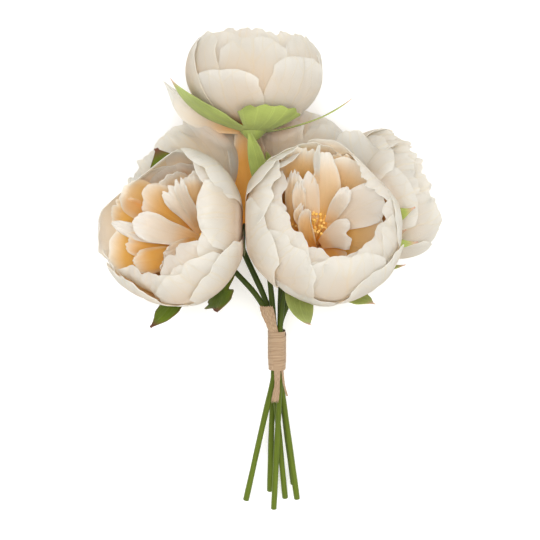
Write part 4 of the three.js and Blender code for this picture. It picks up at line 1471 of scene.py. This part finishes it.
class PEONY_OT_petals(bpy.types.Operator):
    """Add the petals of the six blooms"""

    bl_idname = "peony.petals"
    bl_label = "Add Petals"

    def execute(self, context):
        settings = context.scene.peony_petals
        material = petal_material(settings)
        for bloom in BLOOMS:
            hand_over(petals_piece(bloom, settings, material), f"petals_{bloom.name}")
        return {"FINISHED"}


class PEONY_OT_hearts(bpy.types.Operator):
    """Add the yellow hearts of the six blooms"""

    bl_idname = "peony.hearts"
    bl_label = "Add Hearts"

    def execute(self, context):
        settings = context.scene.peony_hearts
        material = heart_material(settings)
        for bloom in BLOOMS:
            hand_over(heart_piece(bloom, settings, material), f"heart_{bloom.name}")
        return {"FINISHED"}


class PEONY_OT_greens(bpy.types.Operator):
    """Add the green cups with their sepals, and the narrow leaf"""

    bl_idname = "peony.greens"
    bl_label = "Add Sepals and Leaf"

    def execute(self, context):
        settings = context.scene.peony_greens
        light = leaf_material(
            "peony_light_leaf", settings.light_colour, settings.light_tip_colour, (0.45, 0.5, 0.2), 0.3
        )
        dark = leaf_material(
            "peony_dark_leaf", settings.dark_colour, settings.dark_tip_colour, (0.14, 0.07, 0.02), 0.6
        )
        for bloom in BLOOMS:
            is_dark = bloom.name == "left_front"
            piece = calyx_piece(bloom, settings, dark if is_dark else light)
            hand_over(piece, f"calyx_{bloom.name}")
        hand_over(stem_leaf_piece(settings, light), "leaf_on_top_stem")
        return {"FINISHED"}


class PEONY_OT_stems(bpy.types.Operator):
    """Add the six stems"""

    bl_idname = "peony.stems"
    bl_label = "Add Stems"

    def execute(self, context):
        settings = context.scene.peony_greens
        material = stem_material(settings)
        for stem in STEMS:
            hand_over(stem_piece(stem, settings, material), f"stem_{stem[0]}")
        return {"FINISHED"}


class PEONY_OT_tie(bpy.types.Operator):
    """Add the raffia tie and its loose ends"""

    bl_idname = "peony.tie"
    bl_label = "Add Tie"

    def execute(self, context):
        settings = context.scene.peony_raffia
        material = raffia_material(settings)
        hand_over(wrap_piece(settings, material), "tie_wrap")
        for node in TIE_ENDS:
            hand_over(tie_end_piece(node, material), node)
        return {"FINISHED"}


class PEONY_OT_stage(bpy.types.Operator):
    """Add the floor, the lights and the camera"""

    bl_idname = "peony.stage"
    bl_label = "Add Stage"

    def execute(self, context):
        settings = context.scene.peony_stage
        middle = Vector(TIE_MIDDLE) + PICTURE_MIDDLE
        add_floor(settings)
        for name, light in LIGHTS.items():
            power = settings.key_power * light["share"]
            add_area_light(name, middle, Vector(light["place"]), light["size"], power)
        add_sky(context.scene, settings.sky)
        add_camera(context.scene, middle, settings)
        context.scene.view_settings.view_transform = "Standard"
        return {"FINISHED"}


def add_floor(settings):
    mesh = bpy.data.meshes.new("pale_floor")
    corners = [(FLOOR_HALF * x, FLOOR_HALF * y, 0) for x, y in ((-1, -1), (1, -1), (1, 1), (-1, 1))]
    mesh.from_pydata(corners, [], [(0, 1, 2, 3)])
    mesh.materials.append(floor_material(settings))
    floor = bpy.data.objects.new("pale_floor", mesh)
    bpy.context.scene.collection.objects.link(floor)


def add_area_light(name, target, offset, size, power):
    """A round soft light at an offset from its target, out of the camera's sight."""
    light = bpy.data.lights.new(name, "AREA")
    light.shape = "DISK"
    light.size = size
    light.energy = power
    lamp = bpy.data.objects.new(name, light)
    lamp.location = target + offset
    lamp.rotation_euler = (-offset).to_track_quat("-Z", "Y").to_euler()
    lamp.visible_camera = False
    bpy.context.scene.collection.objects.link(lamp)


def add_sky(scene, strength):
    world = bpy.data.worlds.new("soft_studio")
    world.use_nodes = True
    background = world.node_tree.nodes["Background"]
    background.inputs["Color"].default_value = (1.0, 0.99, 0.97, 1.0)
    background.inputs["Strength"].default_value = strength
    scene.world = world


def add_camera(scene, middle, settings):
    """A camera straight over the bunch, with the blooms at the top of its picture."""
    data = bpy.data.cameras.new("photo_camera")
    data.sensor_width = 36.0
    data.lens = data.sensor_width * settings.camera_distance / settings.field_width
    data.clip_start = 0.1
    data.clip_end = 100.0
    camera = bpy.data.objects.new("photo_camera", data)
    camera.location = middle + Vector((0, 0, settings.camera_distance))
    scene.collection.objects.link(camera)
    scene.camera = camera


class PEONY_PT_panel(bpy.types.Panel):
    """Lists the steps that build the bunch"""

    bl_idname = "PEONY_PT_panel"
    bl_label = "Bunch of Peonies"
    bl_space_type = "VIEW_3D"
    bl_region_type = "UI"
    bl_category = "Peonies"

    def draw(self, context):
        for step in STEPS:
            self.layout.operator(step.bl_idname)


SETTINGS = {
    "peony_petals": PeonyPetalSettings,
    "peony_hearts": PeonyHeartSettings,
    "peony_greens": PeonyGreenSettings,
    "peony_raffia": PeonyRaffiaSettings,
    "peony_stage": PeonyStageSettings,
}
STEPS = (
    PEONY_OT_petals,
    PEONY_OT_hearts,
    PEONY_OT_greens,
    PEONY_OT_stems,
    PEONY_OT_tie,
    PEONY_OT_stage,
)


def register():
    for group in SETTINGS.values():
        bpy.utils.register_class(group)
    for step in (*STEPS, PEONY_PT_panel):
        bpy.utils.register_class(step)
    for name, group in SETTINGS.items():
        setattr(bpy.types.Scene, name, bpy.props.PointerProperty(type=group))


def unregister():
    for name in SETTINGS:
        delattr(bpy.types.Scene, name)
    for step in (PEONY_PT_panel, *reversed(STEPS)):
        bpy.utils.unregister_class(step)
    for group in reversed(SETTINGS.values()):
        bpy.utils.unregister_class(group)


def main():
    register()
    bpy.ops.peony.petals()
    bpy.ops.peony.hearts()
    bpy.ops.peony.greens()
    bpy.ops.peony.stems()
    bpy.ops.peony.tie()
    bpy.ops.peony.stage()


if __name__ == "__main__":
    main()
